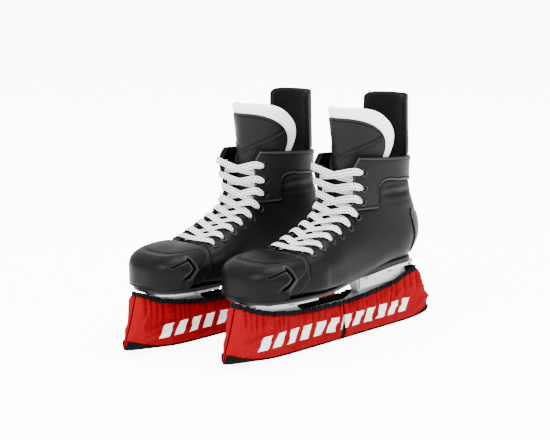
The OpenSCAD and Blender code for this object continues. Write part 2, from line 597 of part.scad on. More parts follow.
for (side = sides) {
    name = side[0];
    place(side[1]) {
        outer_quarter();
        inner_quarter();
        toe_cap();
        heel_cap();
        collar_band();
        outsole();
        shank();
        insole_board();
        footbed();
        liner();
        ankle_pads();
        tongue_felt();
        tongue_face();
        tongue_top_felt();
        tongue_top_face();
        tendon_guard();
        tendon_lining();
        eyelets();
        lace();
        blade_holder();
        runner();
        holder_rivets();
        runner_studs();
        runner_nuts();
        cover_front();
        cover_rear();
        cover_gusset();
        cover_binding();
        cover_strip();
    }
}
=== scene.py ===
import math

import bpy
import numpy as np
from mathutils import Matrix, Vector


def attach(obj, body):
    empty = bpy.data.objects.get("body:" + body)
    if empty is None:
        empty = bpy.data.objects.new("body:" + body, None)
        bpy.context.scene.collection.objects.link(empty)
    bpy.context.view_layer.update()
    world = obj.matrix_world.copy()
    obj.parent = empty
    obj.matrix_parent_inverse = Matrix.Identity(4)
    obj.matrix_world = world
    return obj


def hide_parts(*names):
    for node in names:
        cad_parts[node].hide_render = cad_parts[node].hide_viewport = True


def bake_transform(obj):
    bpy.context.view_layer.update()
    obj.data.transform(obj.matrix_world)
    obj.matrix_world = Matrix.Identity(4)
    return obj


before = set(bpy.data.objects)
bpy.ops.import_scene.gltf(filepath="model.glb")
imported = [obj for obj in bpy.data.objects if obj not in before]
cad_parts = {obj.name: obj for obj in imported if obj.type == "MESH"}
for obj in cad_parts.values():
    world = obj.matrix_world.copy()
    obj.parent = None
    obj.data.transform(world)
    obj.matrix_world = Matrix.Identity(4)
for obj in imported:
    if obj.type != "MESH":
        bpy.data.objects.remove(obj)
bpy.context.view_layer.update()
scene = bpy.context.scene
print("frame loaded")

# The skate's own frame, in millimetres: heel at x = 0, toe at +X, outer side at +Y, floor at z = 0.
pair = {
    "spacing": 118.0,              # between the two skates' centre lines
    "stagger": 39.0,               # how far the right skate stands ahead
    "middle": 138.0,               # x of the cover's middle
}
sides = {"left": 1.0, "right": -1.0}

camera = {
    "azimuth": 46.0,               # degrees from +Y towards +X
    "elevation": 10.5,
    "target": (233.7, 0.0, 154.5), # on the left skate, in its own frame
    "distance": 1422.5,
    "lens": 85.09,
}


def place(points, side):
    # skate frame in mm to row frame in metres; the right skate is the left one's mirror image
    p = np.asarray(points, float)
    x = p[..., 0] - pair["middle"] - side * pair["stagger"] / 2
    y = side * (p[..., 1] + pair["spacing"] / 2)
    return np.stack([x, y, p[..., 2]], -1) / 1000


def makeCamera():
    # looks at the target from the given azimuth and elevation
    a, e = math.radians(camera["azimuth"]), math.radians(camera["elevation"])
    back = Vector((math.sin(a) * math.cos(e), math.cos(a) * math.cos(e), math.sin(e)))
    data = bpy.data.cameras.new("camera")
    data.lens, data.sensor_width = camera["lens"], 36
    data.clip_start, data.clip_end = 0.05, 200
    obj = bpy.data.objects.new("camera", data)
    scene.collection.objects.link(obj)
    target = Vector(place(np.array(camera["target"]), 1.0))
    obj.location = target + back * camera["distance"] / 1000
    obj.rotation_mode = "QUATERNION"
    obj.rotation_quaternion = (-back).to_track_quat("-Z", "Y")
    scene.camera = obj


makeCamera()


def mix(a, b, t):
    # a at t = 0, b at t = 1
    return a + (b - a) * t


def smooth(a, b, x):
    # 0 before a, 1 after b and eased between
    t = np.clip((np.asarray(x, float) - a) / (b - a), 0, 1)
    return t * t * (3 - 2 * t)


def bell(x, at, wide):
    # 1 at one place and falling off smoothly on both sides
    return np.exp(-((x - at) / wide) ** 2)


def spline(table, u):
    # Catmull-Rom through the rows of a table; u runs from 0 to its last row
    table, u = np.asarray(table, float), np.asarray(u, float)
    n = len(table) - 1
    i = np.clip(np.floor(u).astype(int), 0, n - 1)
    f = (u - i)[..., None]
    a, b = table[np.maximum(i - 1, 0)], table[i]
    c, d = table[i + 1], table[np.minimum(i + 2, n)]
    return 0.5 * (2 * b + (c - a) * f + (2 * a - 5 * b + 4 * c - d) * f ** 2
                  + (3 * b - a - 3 * c + d) * f ** 3)


def crowded(n, share=0.85):
    # n + 1 values from 0 to 1, closer together towards both ends
    t = np.linspace(0, 1, n + 1)
    return t - share * np.sin(2 * np.pi * t) / (2 * np.pi)


def unit(v):
    # vectors scaled to length 1
    return v / np.maximum(np.linalg.norm(v, axis=-1, keepdims=True), 1e-9)


def gridNormals(p):
    # cross product of the grid's two directions
    return unit(np.cross(np.gradient(p, axis=0), np.gradient(p, axis=1)))


def lengthAlong(path):
    # how far each point is from the first, measured along the path
    return np.concatenate([[0], np.cumsum(np.linalg.norm(np.diff(path, axis=0), axis=-1))])


def resample(at, run, values):
    # each column of values, read off at new places along the run
    return np.stack([np.interp(at, run, values[:, k]) for k in range(values.shape[1])], -1)


def edgeDistance(p):
    # how far each grid point is from the nearest border, along the grid's lines
    def along(q):
        # distance to the nearer end of each line
        step = np.linalg.norm(np.diff(q, axis=0), axis=-1)
        run = np.concatenate([np.zeros((1,) + step.shape[1:]), np.cumsum(step, axis=0)])
        return np.minimum(run, run[-1] - run)
    return np.minimum(along(p), along(p.swapaxes(0, 1)).T)


def noise(x, y, seed=0, octaves=3):
    # smooth value noise on a lattice, from -1 to 1
    rng = np.random.default_rng(seed)
    total, size = 0, 0
    for k in range(octaves):
        lattice = rng.uniform(-1, 1, (64, 64))
        fx, fy = x * 2 ** k + 11.3 * k, y * 2 ** k + 7.7 * k
        i, j = np.floor(fx).astype(int), np.floor(fy).astype(int)
        s, t = fx - i, fy - j
        s, t = s * s * (3 - 2 * s), t * t * (3 - 2 * t)
        g = lambda a, b: lattice[a % 64, b % 64]
        value = mix(mix(g(i, j), g(i + 1, j), s), mix(g(i, j + 1), g(i + 1, j + 1), s), t)
        total, size = total + value * 0.5 ** k, size + 0.5 ** k
    return total / size


def lineDistance(x, z, line):
    # distance to a polyline in the side view
    best = np.full(x.shape, 1e9)
    for (ax, az), (bx, bz) in zip(line[:-1], line[1:]):
        dx, dz = bx - ax, bz - az
        t = np.clip(((x - ax) * dx + (z - az) * dz) / (dx * dx + dz * dz), 0, 1)
        best = np.minimum(best, np.hypot(x - ax - t * dx, z - az - t * dz))
    return best


def makeMesh(name, verts, faces, side, body, material, uv=None, replaces=(), flip=False):
    # verts in the skate frame; faces are rows of four indices, the last repeated for a triangle
    faces = np.asarray(faces, int)
    if (side < 0) != flip:
        faces = faces[:, ::-1]
    mesh = bpy.data.meshes.new(name)
    points = place(verts, side).astype(np.float32)
    mesh.vertices.add(len(points))
    mesh.vertices.foreach_set("co", points.ravel())
    mesh.loops.add(faces.size)
    mesh.loops.foreach_set("vertex_index", faces.ravel().astype(np.int32))
    mesh.polygons.add(len(faces))
    mesh.polygons.foreach_set("loop_start", np.arange(0, faces.size, 4, dtype=np.int32))
    mesh.polygons.foreach_set("use_smooth", np.ones(len(faces), bool))
    mesh.update(calc_edges=True)
    if uv is not None:
        layer = mesh.uv_layers.new(name="UVMap")
        layer.data.foreach_set("uv", np.asarray(uv, np.float32)[faces.ravel()].ravel())
    mesh.validate()
    mesh.materials.append(materials[material])
    obj = bpy.data.objects.new(name, mesh)
    scene.collection.objects.link(obj)
    if body:
        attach(obj, body)
    if replaces:
        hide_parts(*replaces)
    return obj


def gridFaces(index):
    # one four-sided face for each cell of a grid of vertex numbers
    a, b, c, d = index[:-1, :-1], index[1:, :-1], index[1:, 1:], index[:-1, 1:]
    return np.stack([a, b, c, d], -1).reshape(-1, 4)


def closedShell(top, bottom):
    # two grids that meet along their border, sewn into one closed skin
    n, m = top.shape[:2]
    upper = np.arange(n * m).reshape(n, m)
    lower = upper.copy()
    lower[1:-1, 1:-1] = n * m + np.arange((n - 2) * (m - 2)).reshape(n - 2, m - 2)
    verts = np.concatenate([top.reshape(-1, 3), bottom[1:-1, 1:-1].reshape(-1, 3)])
    return verts, np.concatenate([gridFaces(upper), gridFaces(lower)[:, ::-1]])


def pillow(p, low, high, edge, bump=0.0, under=0.0, normals=None):
    # a sheet between two offsets of the grid p, rounded off along its whole border
    normals = gridNormals(p) if normals is None else normals
    t = np.clip(edgeDistance(p) / edge, 0, 1)
    rounded = np.sqrt(1 - (1 - t) ** 2)[..., None]
    low, high, bump, under = (np.broadcast_to(np.asarray(v, float), p.shape[:2])[..., None]
                              for v in (low, high, bump, under))
    mid, half = p + normals * (low + high) / 2, normals * (high - low) / 2 * rounded
    return closedShell(mid + half + normals * bump * rounded, mid - half + normals * under * rounded)


def shellUv(uvGrid):
    # one value pair for each vertex of a closed shell
    return np.concatenate([uvGrid.reshape(-1, 2), uvGrid[1:-1, 1:-1].reshape(-1, 2)])


def sweep(path, wide, thick, width, height, power=2.6, count=12, closed=False):
    # a ribbon with a rounded section along a path; returns verts, faces and (length, across)
    a = np.linspace(0, 2 * np.pi, count, endpoint=False)
    c, s = np.cos(a), np.sin(a)
    across = np.sign(c) * np.abs(c) ** (2 / power)
    up = np.sign(s) * np.abs(s) ** (2 / power)
    width, height = np.broadcast_to(width, len(path)), np.broadcast_to(height, len(path))
    rings = (path[:, None] + wide[:, None] * (across[None, :, None] * width[:, None, None] / 2)
             + thick[:, None] * (up[None, :, None] * height[:, None, None] / 2))
    n = len(path)
    index = np.arange(n * count).reshape(n, count)
    index = np.concatenate([index, index[:, :1]], 1)
    if closed:
        index = np.concatenate([index, index[:1]], 0)
    faces = gridFaces(index)[:, ::-1]
    verts = rings.reshape(-1, 3)
    if not closed:
        verts = np.concatenate([verts, path[:1], path[-1:]])
        ring = index[0]
        first = [[ring[k], ring[k + 1], n * count, n * count] for k in range(count)]
        ring = index[-1]
        last = [[ring[k + 1], ring[k], n * count + 1, n * count + 1] for k in range(count)]
        faces = np.concatenate([faces, first, last])
    run = lengthAlong(path)
    uv = np.stack([np.repeat(run, count), np.tile(across, n)], -1)
    if not closed:
        uv = np.concatenate([uv, [[0, 0], [run[-1], 0]]])
    return verts, faces, uv


def makeStitches(name, lines, side, body, material, gap=3.8, length=2.6, radius=0.42):
    # small thread beads along each (points, normals) line
    beads, count = [], 0
    ring = np.linspace(0, 2 * np.pi, 6, endpoint=False)
    stations = np.array([-1, -0.7, 0, 0.7, 1])
    fat = np.array([0.25, 0.85, 1, 0.85, 0.25])
    local = np.stack([np.repeat(stations * length / 2, 6), np.outer(fat, np.cos(ring)).ravel() * radius,
                      np.outer(fat, np.sin(ring)).ravel() * radius * 1.15], -1)
    index = np.arange(30).reshape(5, 6)
    index = np.concatenate([index, index[:, :1]], 1)
    caps = [[0, 5, 4, 3], [0, 3, 2, 1], [24, 25, 26, 27], [24, 27, 28, 29]]
    beadFaces = np.concatenate([gridFaces(index)[:, ::-1], caps])
    faces = []
    for points, normals in lines:
        run = lengthAlong(points)
        at = np.arange(gap, run[-1] - gap / 2, gap)
        p, q = resample(at, run, points), resample(at + 0.2, run, points)
        n = unit(resample(at, run, normals))
        t = unit(q - p)
        w = np.cross(n, t)
        for k in range(len(at)):
            beads.append(p[k] + local[:, :1] * t[k] + local[:, 1:2] * w[k] + local[:, 2:] * n[k])
            faces.append(beadFaces + count)
            count += 30
    return makeMesh(name, np.concatenate(beads), np.concatenate(faces), side, body, material)


materials = {}
looks = {
    # spread is how strongly the colour is mottled; edge is a paler colour painted on raised edges as a
    # painted highlight
    "upper": {"color": (0.0022, 0.0022, 0.0023), "rough": 0.42, "grain": 1500, "bump": 0.13,
              "spread": 0.3, "shine": 0.05, "edge": (0.021, 0.021, 0.022)},
    "cap": {"color": (0.0018, 0.0018, 0.0019), "rough": 0.38, "grain": 2600, "bump": 0.05,
            "spread": 0.1, "shine": 0.055, "edge": (0.024, 0.024, 0.025)},
    "panel": {"color": (0.0046, 0.0046, 0.0048), "rough": 0.42, "grain": 1500, "bump": 0.13,
              "spread": 0.3, "shine": 0.06, "edge": (0.026, 0.026, 0.027)},
    "tongue": {"color": (0.0044, 0.0044, 0.0046), "rough": 0.42, "grain": 1500, "bump": 0.1,
               "spread": 0.3, "shine": 0.08, "edge": (0.022, 0.022, 0.023)},
    "sole": {"color": (0.0034, 0.0034, 0.0034), "rough": 0.5, "grain": 3000, "bump": 0.05,
             "spread": 0.1, "shine": 0.15},
    "eyelet": {"color": (0.0006, 0.0006, 0.0006), "rough": 0.22, "grain": 900, "bump": 0.01,
               "spread": 0.05, "shine": 0.12},
    "foam": {"color": (0.25, 0.255, 0.27), "rough": 0.9, "grain": 1800, "bump": 0.2,
             "spread": 0.2, "shine": 0.2},
    "board": {"color": (0.2, 0.14, 0.08), "rough": 0.85, "grain": 1200, "bump": 0.1,
              "spread": 0.3, "shine": 0.2},
    "shank": {"color": (0.09, 0.095, 0.1), "rough": 0.6, "grain": 1200, "bump": 0.05,
              "spread": 0.1, "shine": 0.3},
    "pad": {"color": (0.002, 0.002, 0.002), "rough": 0.7, "grain": 1500, "bump": 0.25,
            "spread": 0.2, "shine": 0.02},
}


def newGroup(name, inputs, outputs):
    # an empty node group with its sockets
    group = bpy.data.node_groups.new(name, "ShaderNodeTree")
    for label, kind, value in inputs:
        socket = group.interface.new_socket(name=label, in_out="INPUT", socket_type=kind)
        if value is not None:
            socket.default_value = value
    for label, kind in outputs:
        group.interface.new_socket(name=label, in_out="OUTPUT", socket_type=kind)
    return group, group.nodes.new("NodeGroupInput"), group.nodes.new("NodeGroupOutput")


def addNode(tree, kind, links=None, **values):
    # makes a node, sets its properties, and joins inputs given as {socket: output or value}
    node = tree.nodes.new(kind)
    for key, value in values.items():
        setattr(node, key, value)
    for key, value in (links or {}).items():
        if isinstance(value, bpy.types.NodeSocket):
            tree.links.new(value, node.inputs[key])
        else:
            node.inputs[key].default_value = value
    return node


def math2(tree, operation, a, b=None):
    # one maths node on one or two values
    node = addNode(tree, "ShaderNodeMath", {0: a} if b is None else {0: a, 1: b}, operation=operation)
    return node.outputs[0]


def grainGroup():
    # pebbled surface: cells and soft unevenness, as a normal and a mottle value
    g, gin, gout = newGroup("grain", [("Vector", "NodeSocketVector", None),
                                      ("Scale", "NodeSocketFloat", 1500.0),
                                      ("Bump", "NodeSocketFloat", 0.1)],
                            [("Normal", "NodeSocketVector"), ("Mottle", "NodeSocketFloat")])
    cells = addNode(g, "ShaderNodeTexVoronoi", {"Vector": gin.outputs[0], "Scale": gin.outputs[1]},
                    feature="SMOOTH_F1")
    soft = addNode(g, "ShaderNodeTexNoise", {"Vector": gin.outputs[0], "Scale": 45.0, "Detail": 4.0})
    fine = addNode(g, "ShaderNodeTexNoise", {"Vector": gin.outputs[0], "Scale": 3500.0, "Detail": 2.0})
    height = math2(g, "ADD", math2(g, "MULTIPLY", cells.outputs["Distance"], 0.7),
                   math2(g, "MULTIPLY", fine.outputs[0], 0.35))
    height = math2(g, "ADD", height, math2(g, "MULTIPLY", soft.outputs[0], 4.0))
    bump = addNode(g, "ShaderNodeBump", {"Strength": gin.outputs[2], "Distance": 0.0002, "Height": height})
    g.links.new(bump.outputs[0], gout.inputs[0])
    g.links.new(soft.outputs[0], gout.inputs[1])
    return g


def feltGroup():
    # matted fibres, as a normal and a fleck value
    g, gin, gout = newGroup("felt", [("Vector", "NodeSocketVector", None), ("Bump", "NodeSocketFloat", 0.6)],
                            [("Normal", "NodeSocketVector"), ("Fleck", "NodeSocketFloat")])
    fibres = addNode(g, "ShaderNodeTexNoise", {"Vector": gin.outputs[0], "Scale": 1400.0, "Detail": 6.0,
                                               "Roughness": 0.75, "Distortion": 1.5})
    clump = addNode(g, "ShaderNodeTexNoise", {"Vector": gin.outputs[0], "Scale": 220.0, "Detail": 3.0})
    height = math2(g, "ADD", fibres.outputs[0], math2(g, "MULTIPLY", clump.outputs[0], 0.8))
    bump = addNode(g, "ShaderNodeBump", {"Strength": gin.outputs[1], "Distance": 0.0006, "Height": height})
    g.links.new(bump.outputs[0], gout.inputs[0])
    g.links.new(fibres.outputs[0], gout.inputs[1])
    return g


def weaveGroup():
    # plain weave from a UV in thread widths: a normal and a thread height
    g, gin, gout = newGroup("weave", [("UV", "NodeSocketVector", None), ("Bump", "NodeSocketFloat", 0.5),
                                      ("Depth", "NodeSocketFloat", 0.0003)],
                            [("Normal", "NodeSocketVector"), ("Height", "NodeSocketFloat")])
    split = addNode(g, "ShaderNodeSeparateXYZ", {0: gin.outputs[0]})
    x, y = split.outputs[0], split.outputs[1]
    over = math2(g, "ABSOLUTE", math2(g, "SINE", math2(g, "MULTIPLY", x, math.pi)))
    under = math2(g, "ABSOLUTE", math2(g, "SINE", math2(g, "MULTIPLY", y, math.pi)))
    parity = math2(g, "FLOORED_MODULO", math2(g, "ADD", math2(g, "FLOOR", x), math2(g, "FLOOR", y)), 2.0)
    height = addNode(g, "ShaderNodeMix", {0: parity, 2: over, 3: under}).outputs[0]
    bump = addNode(g, "ShaderNodeBump", {"Strength": gin.outputs[1], "Distance": gin.outputs[2],
                                         "Height": height})
    g.links.new(bump.outputs[0], gout.inputs[0])
    g.links.new(height, gout.inputs[1])
    return g


groups = {"grain": grainGroup(), "felt": feltGroup(), "weave": weaveGroup()}


def newMaterial(name, color, rough, metal=0.0):
    # a Principled material, kept by its name
    material = bpy.data.materials.new(name)
    material.use_nodes = True
    tree = material.node_tree
    shader = tree.nodes["Principled BSDF"]
    shader.inputs["Base Color"].default_value = (*color, 1)
    shader.inputs["Roughness"].default_value = rough
    shader.inputs["Metallic"].default_value = metal
    material.diffuse_color = (*color, 1)
    materials[name] = material
    return tree, shader


def joinGroup(tree, name, links):
    # puts one of the node groups into a material
    return addNode(tree, "ShaderNodeGroup", links, node_tree=groups[name])


def vary(tree, shader, value, color, spread, socket="Base Color"):
    # lightens and darkens a colour by a mottle value
    low = tuple(c * (1 - spread) for c in color)
    high = tuple(min(1, c * (1 + spread)) for c in color)
    node = addNode(tree, "ShaderNodeMix", {0: value}, data_type="RGBA")
    node.inputs[6].default_value, node.inputs[7].default_value = (*low, 1), (*high, 1)
    tree.links.new(node.outputs[2], shader.inputs[socket])
    return node


def grainedMaterial(name):
    # leather or moulded plastic, mottled and finely pebbled, with a painted highlight on raised edges and
    # painted shade in grooves where the mesh carries those marks
    look = looks[name]
    tree, shader = newMaterial(name, look["color"], look["rough"])
    where = addNode(tree, "ShaderNodeTexCoord").outputs["Object"]
    grain = joinGroup(tree, "grain", {"Vector": where, "Scale": float(look["grain"]), "Bump": look["bump"]})
    tree.links.new(grain.outputs["Normal"], shader.inputs["Normal"])
    mottled = vary(tree, shader, grain.outputs["Mottle"], look["color"], look["spread"])
    if "edge" in look:
        # UV x marks raised edges, which get a painted highlight; UV y marks seams and grooves, which get
        # painted shade
        paintedLightMarks = addNode(tree, "ShaderNodeUVMap", uv_map="UVMap")
        split = addNode(tree, "ShaderNodeSeparateXYZ", {0: paintedLightMarks.outputs[0]})
        paintedEdgeHighlight = addNode(tree, "ShaderNodeMix", {0: split.outputs[0], 6: mottled.outputs[2]},
                         data_type="RGBA")
        paintedEdgeHighlight.inputs[7].default_value = (*look["edge"], 1)
        paintedGrooveShade = addNode(tree, "ShaderNodeMix", {0: split.outputs[1], 6: paintedEdgeHighlight.outputs[2]}, data_type="RGBA")
        # painted shade: seams and grooves turn near black
        paintedGrooveShade.inputs[7].default_value = (0.0004, 0.0004, 0.0004, 1)
        tree.links.new(paintedGrooveShade.outputs[2], shader.inputs["Base Color"])
        # the shine fades out in the grooves as well, part of the painted shade
        paintedShadeShine = addNode(tree, "ShaderNodeMapRange", {0: split.outputs[1], 3: look["shine"], 4: 0.0})
        tree.links.new(paintedShadeShine.outputs[0], shader.inputs["Specular IOR Level"])
    rough = addNode(tree, "ShaderNodeMapRange", {0: grain.outputs["Mottle"], 1: 0.3, 2: 0.7,
                                                 3: look["rough"] - 0.05, 4: look["rough"] + 0.07})
    tree.links.new(rough.outputs[0], shader.inputs["Roughness"])
    shader.inputs["Specular IOR Level"].default_value = look["shine"]
    return tree, shader


def feltMaterial(name, color, bump, sheen):
    # soft matted cloth
    tree, shader = newMaterial(name, color, 0.95)
    where = addNode(tree, "ShaderNodeTexCoord").outputs["Object"]
    felt = joinGroup(tree, "felt", {"Vector": where, "Bump": bump})
    tree.links.new(felt.outputs["Normal"], shader.inputs["Normal"])
    vary(tree, shader, felt.outputs["Fleck"], color, 0.12)
    shader.inputs["Sheen Weight"].default_value = sheen
    shader.inputs["Sheen Roughness"].default_value = 0.6
    shader.inputs["Specular IOR Level"].default_value = 0.03
    return tree, shader


def uvMap(tree, sx, sy):
    # the mesh's UV as it is, and scaled
    uv = addNode(tree, "ShaderNodeUVMap", uv_map="UVMap").outputs[0]
    scaled = addNode(tree, "ShaderNodeVectorMath", {0: uv, 1: (sx, sy, 1.0)}, operation="MULTIPLY")
    return uv, scaled.outputs[0]


def clothMaterial(name, color, rough, threads, bump, sheen, depth=0.0003):
    # threads are per UV unit, along and across
    tree, shader = newMaterial(name, color, rough)
    uv, scaled = uvMap(tree, *threads)
    weave = joinGroup(tree, "weave", {"UV": scaled, "Bump": bump, "Depth": depth})
    tree.links.new(weave.outputs["Normal"], shader.inputs["Normal"])
    # painted shade: the colour is darker where the threads dip
    shade = vary(tree, shader, weave.outputs["Height"], color, 0.14)
    shader.inputs["Sheen Weight"].default_value = sheen
    shader.inputs["Specular IOR Level"].default_value = 0.03
    return tree, shader, uv, shade


for lookName in looks:
    grainedMaterial(lookName)
feltMaterial("whiteFelt", (0.74, 0.74, 0.75), 0.5, 0.1)
feltMaterial("blackFelt", (0.0035, 0.0035, 0.0037), 0.7, 0.012)
feltMaterial("liner", (0.014, 0.014, 0.016), 0.5, 0.15)
feltMaterial("footbed", (0.03, 0.07, 0.18), 0.4, 0.2)
clothMaterial("webbing", (0.0016, 0.0016, 0.0017), 0.8, (1.1, 1.1), 0.7, 0.02)
clothMaterial("elastic", (0.0016, 0.0016, 0.0017), 0.75, (0.9, 3.0), 0.8, 0.02)

newMaterial("steel", (0.27, 0.275, 0.285), 0.25, 1.0)
newMaterial("boltSteel", (0.16, 0.16, 0.17), 0.35, 1.0)
newMaterial("rivetMetal", (0.15, 0.13, 0.09), 0.4, 1.0)
_, threadShader = newMaterial("thread", (0.0008, 0.0008, 0.0008), 0.8)
threadShader.inputs["Specular IOR Level"].default_value = 0.05

holder = {
    "color": (0.31, 0.315, 0.32),
}


def holderMaterial():
    # white moulded plastic
    tree, shader = newMaterial("holder", holder["color"], 0.3)
    where = addNode(tree, "ShaderNodeTexCoord").outputs["Object"]
    soft = addNode(tree, "ShaderNodeTexNoise", {"Vector": where, "Scale": 60.0, "Detail": 3.0})
    vary(tree, shader, soft.outputs[0], holder["color"], 0.06)
    shader.inputs["Coat Weight"].default_value = 0.2
    return tree, shader


holderMaterial()

print("materials made")

# Hard parts keep their CAD shape and only take a finish.
hardFinish = {
    "shank": "shank", "insole_board": "board", "blade_holder": "holder", "runner": "steel",
    "holder_rivets": "rivetMetal", "runner_studs": "boltSteel", "runner_nuts": "boltSteel",
}
for sideName in sides:
    for part, finish in hardFinish.items():
        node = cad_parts[f"{sideName}_{part}"]
        node.data.materials.clear()
        node.data.materials.append(materials[finish])

# The boot's own form, in sections along its length; the whole upper is laid over it.
boot = {
    "length": 290.0, "ball": 46.0, "heel": 34.0, "collar": 38.0, "collarHeight": 135.0,
    "sole": 74.0, "heelLift": 10.0, "toeIn": 4.0, "wall": 3.2, "throatLow": 38.0, "throatHigh": 58.0,
}
length, ball, heel, collar = (boot[k] for k in ("length", "ball", "heel", "collar"))


def soleZ(x):
    # height of the boot's underside, raised at the heel
    return boot["sole"] + boot["heelLift"] * (1 - smooth(0.1, 0.59, np.asarray(x) / length))


def height(k):
    # k is a share of the collar's height over the sole
    return boot["sole"] + k * boot["collarHeight"]


def toeShift(x):
    # the front of the foot turns in
    return -boot["toeIn"] * np.clip(x / length * 2 - 1, 0, 1) ** 2


def throat(t):
    # half the gap between the two facings
    return mix(boot["throatLow"], boot["throatHigh"], t) / 2


def onSole(x, ex, ez, w, widest, t, low, high):
    # a section that starts on the sole
    return [x * length, float(soleZ(x * length)), ex * length, height(ez), w, widest, throat(t), low, high]


def onBack(x, z, ex, ez, w, widest, t, low, high):
    # a section that starts on the heel's back
    return [x * length, height(z), ex * length, height(ez), w, widest, throat(t), low, high]


# Sections along the boot: sole or back point, facing edge point, half width, height of the widest
# place, half the throat, and the roundness of the lower and upper quarter
sections = np.array([
    onSole(0.905, 0.820, 0.270, ball - 8.0, 0.42, 0.00, 5.0, 2.2),
    onSole(0.714, 0.714, 0.330, ball, 0.45, 0.02, 6.5, 2.2),
    onSole(0.641, 0.662, 0.374, ball - 1.0, 0.45, 0.05, 6.5, 2.1),
    onSole(0.552, 0.610, 0.426, mix(ball, heel, 0.25), 0.44, 0.10, 6.0, 2.0),
    onSole(0.455, 0.562, 0.474, mix(ball, heel, 0.55), 0.42, 0.20, 5.5, 2.0),
    onSole(0.338, 0.514, 0.533, mix(ball, heel, 0.80), 0.40, 0.30, 4.6, 1.9),
    onSole(0.200, 0.486, 0.585, heel + 1.0, 0.38, 0.42, 3.2, 1.8),
    onSole(0.083, 0.469, 0.637, heel + 1.0, 0.36, 0.50, 2.6, 1.8),
    onBack(0.010, 0.190, 0.459, 0.696, heel + 0.5, 0.36, 0.60, 2.2, 1.8),
    onBack(0.000, 0.330, 0.462, 0.756, heel + 2.0, 0.40, 0.70, 2.2, 1.8),
    onBack(0.026, 0.505, 0.466, 0.815, collar, 0.45, 0.80, 2.2, 1.8),
    onBack(0.059, 0.670, 0.471, 0.889, collar, 0.50, 0.88, 2.3, 1.8),
    onBack(0.072, 0.830, 0.472, 0.963, collar - 0.5, 0.50, 0.95, 2.3, 1.8),
    onBack(0.076, 1.000, 0.441, 1.050, collar, 0.50, 1.00, 2.4, 1.8),
])
lastU = len(sections) - 1.0


def skin(u, v):
    # v from 0 at the sole or the heel's back to 1 at the facing edge; a negative v is the inner side
    u, v = np.broadcast_arrays(np.asarray(u, float), np.asarray(v, float))
    s, w = spline(sections, u), np.abs(v)
    b, a = np.radians(180 * np.clip(w, 0, 0.5)), np.radians(180 * np.clip(w - 0.5, 0, 0.5))
    lower = w <= 0.5
    y = np.where(lower, s[..., 4] * np.sin(b) ** (2 / s[..., 7]),
                 s[..., 6] + (s[..., 4] - s[..., 6]) * np.cos(a) ** (2 / s[..., 8]))
    h = np.where(lower, s[..., 5] * (1 - np.cos(b) ** (2 / s[..., 7])),
                 s[..., 5] + (1 - s[..., 5]) * np.sin(a) ** (2 / s[..., 8]))
    x, z = mix(s[..., 0], s[..., 2], h), mix(s[..., 1], s[..., 3], h)
    return np.stack([x, np.sign(v) * y + toeShift(x), z], -1)


def mirrored(verts):
    # the same points on the other side of the boot's bent middle plane
    verts = verts.copy()
    verts[:, 1] = 2 * toeShift(verts[:, 0]) - verts[:, 1]
    return verts


def skinNormal(u, v, side=1.0):
    # outward normal, from small steps along the skin
    e = 0.004
    v = np.clip(v, 0.01, 1 - 2 * e)
    u = np.clip(u, e, lastU - e)
    n = unit(np.cross(skin(u + e, v) - skin(u - e, v), skin(u, v + e) - skin(u, v - e)))
    return n * np.array([1.0, side, 1.0])


def vFromEdge(u, d):
    # v of the point that lies d from the facing edge, measured along the skin
    w = np.linspace(1, 0.4, 241)
    p = skin(np.full_like(w, u), w)
    run = lengthAlong(p)
    return float(np.interp(d, run, w))


def vOfY(u, y):
    # v of the point that lies y from the middle, low on the skin
    s = spline(sections, u)
    return 0.5 * np.degrees(np.arcsin(np.clip(y / s[..., 4], 0, 1) ** (s[..., 7] / 2))) / 90


quarter = {
    "rows": 220, "columns": 84,
    "margin": 15.0,                # how far the lasting turns in under the boot
    "panelStep": 0.7,              # height of the toe overlay's edge
    "panelLine": [(76, 240), (90.6, 222), (99.6, 222.6), (118, 216)],   # (z, x) of that edge
    "dent": 2.0,                   # depth of the soft hollow over the ankle
    "dentAt": (68, 172),           # its middle, x and z
    "dentSize": (24, 11),
    "pinchAt": 163,                # height of the waist over the heel
    "pinch": 1.9,                  # its depth
}


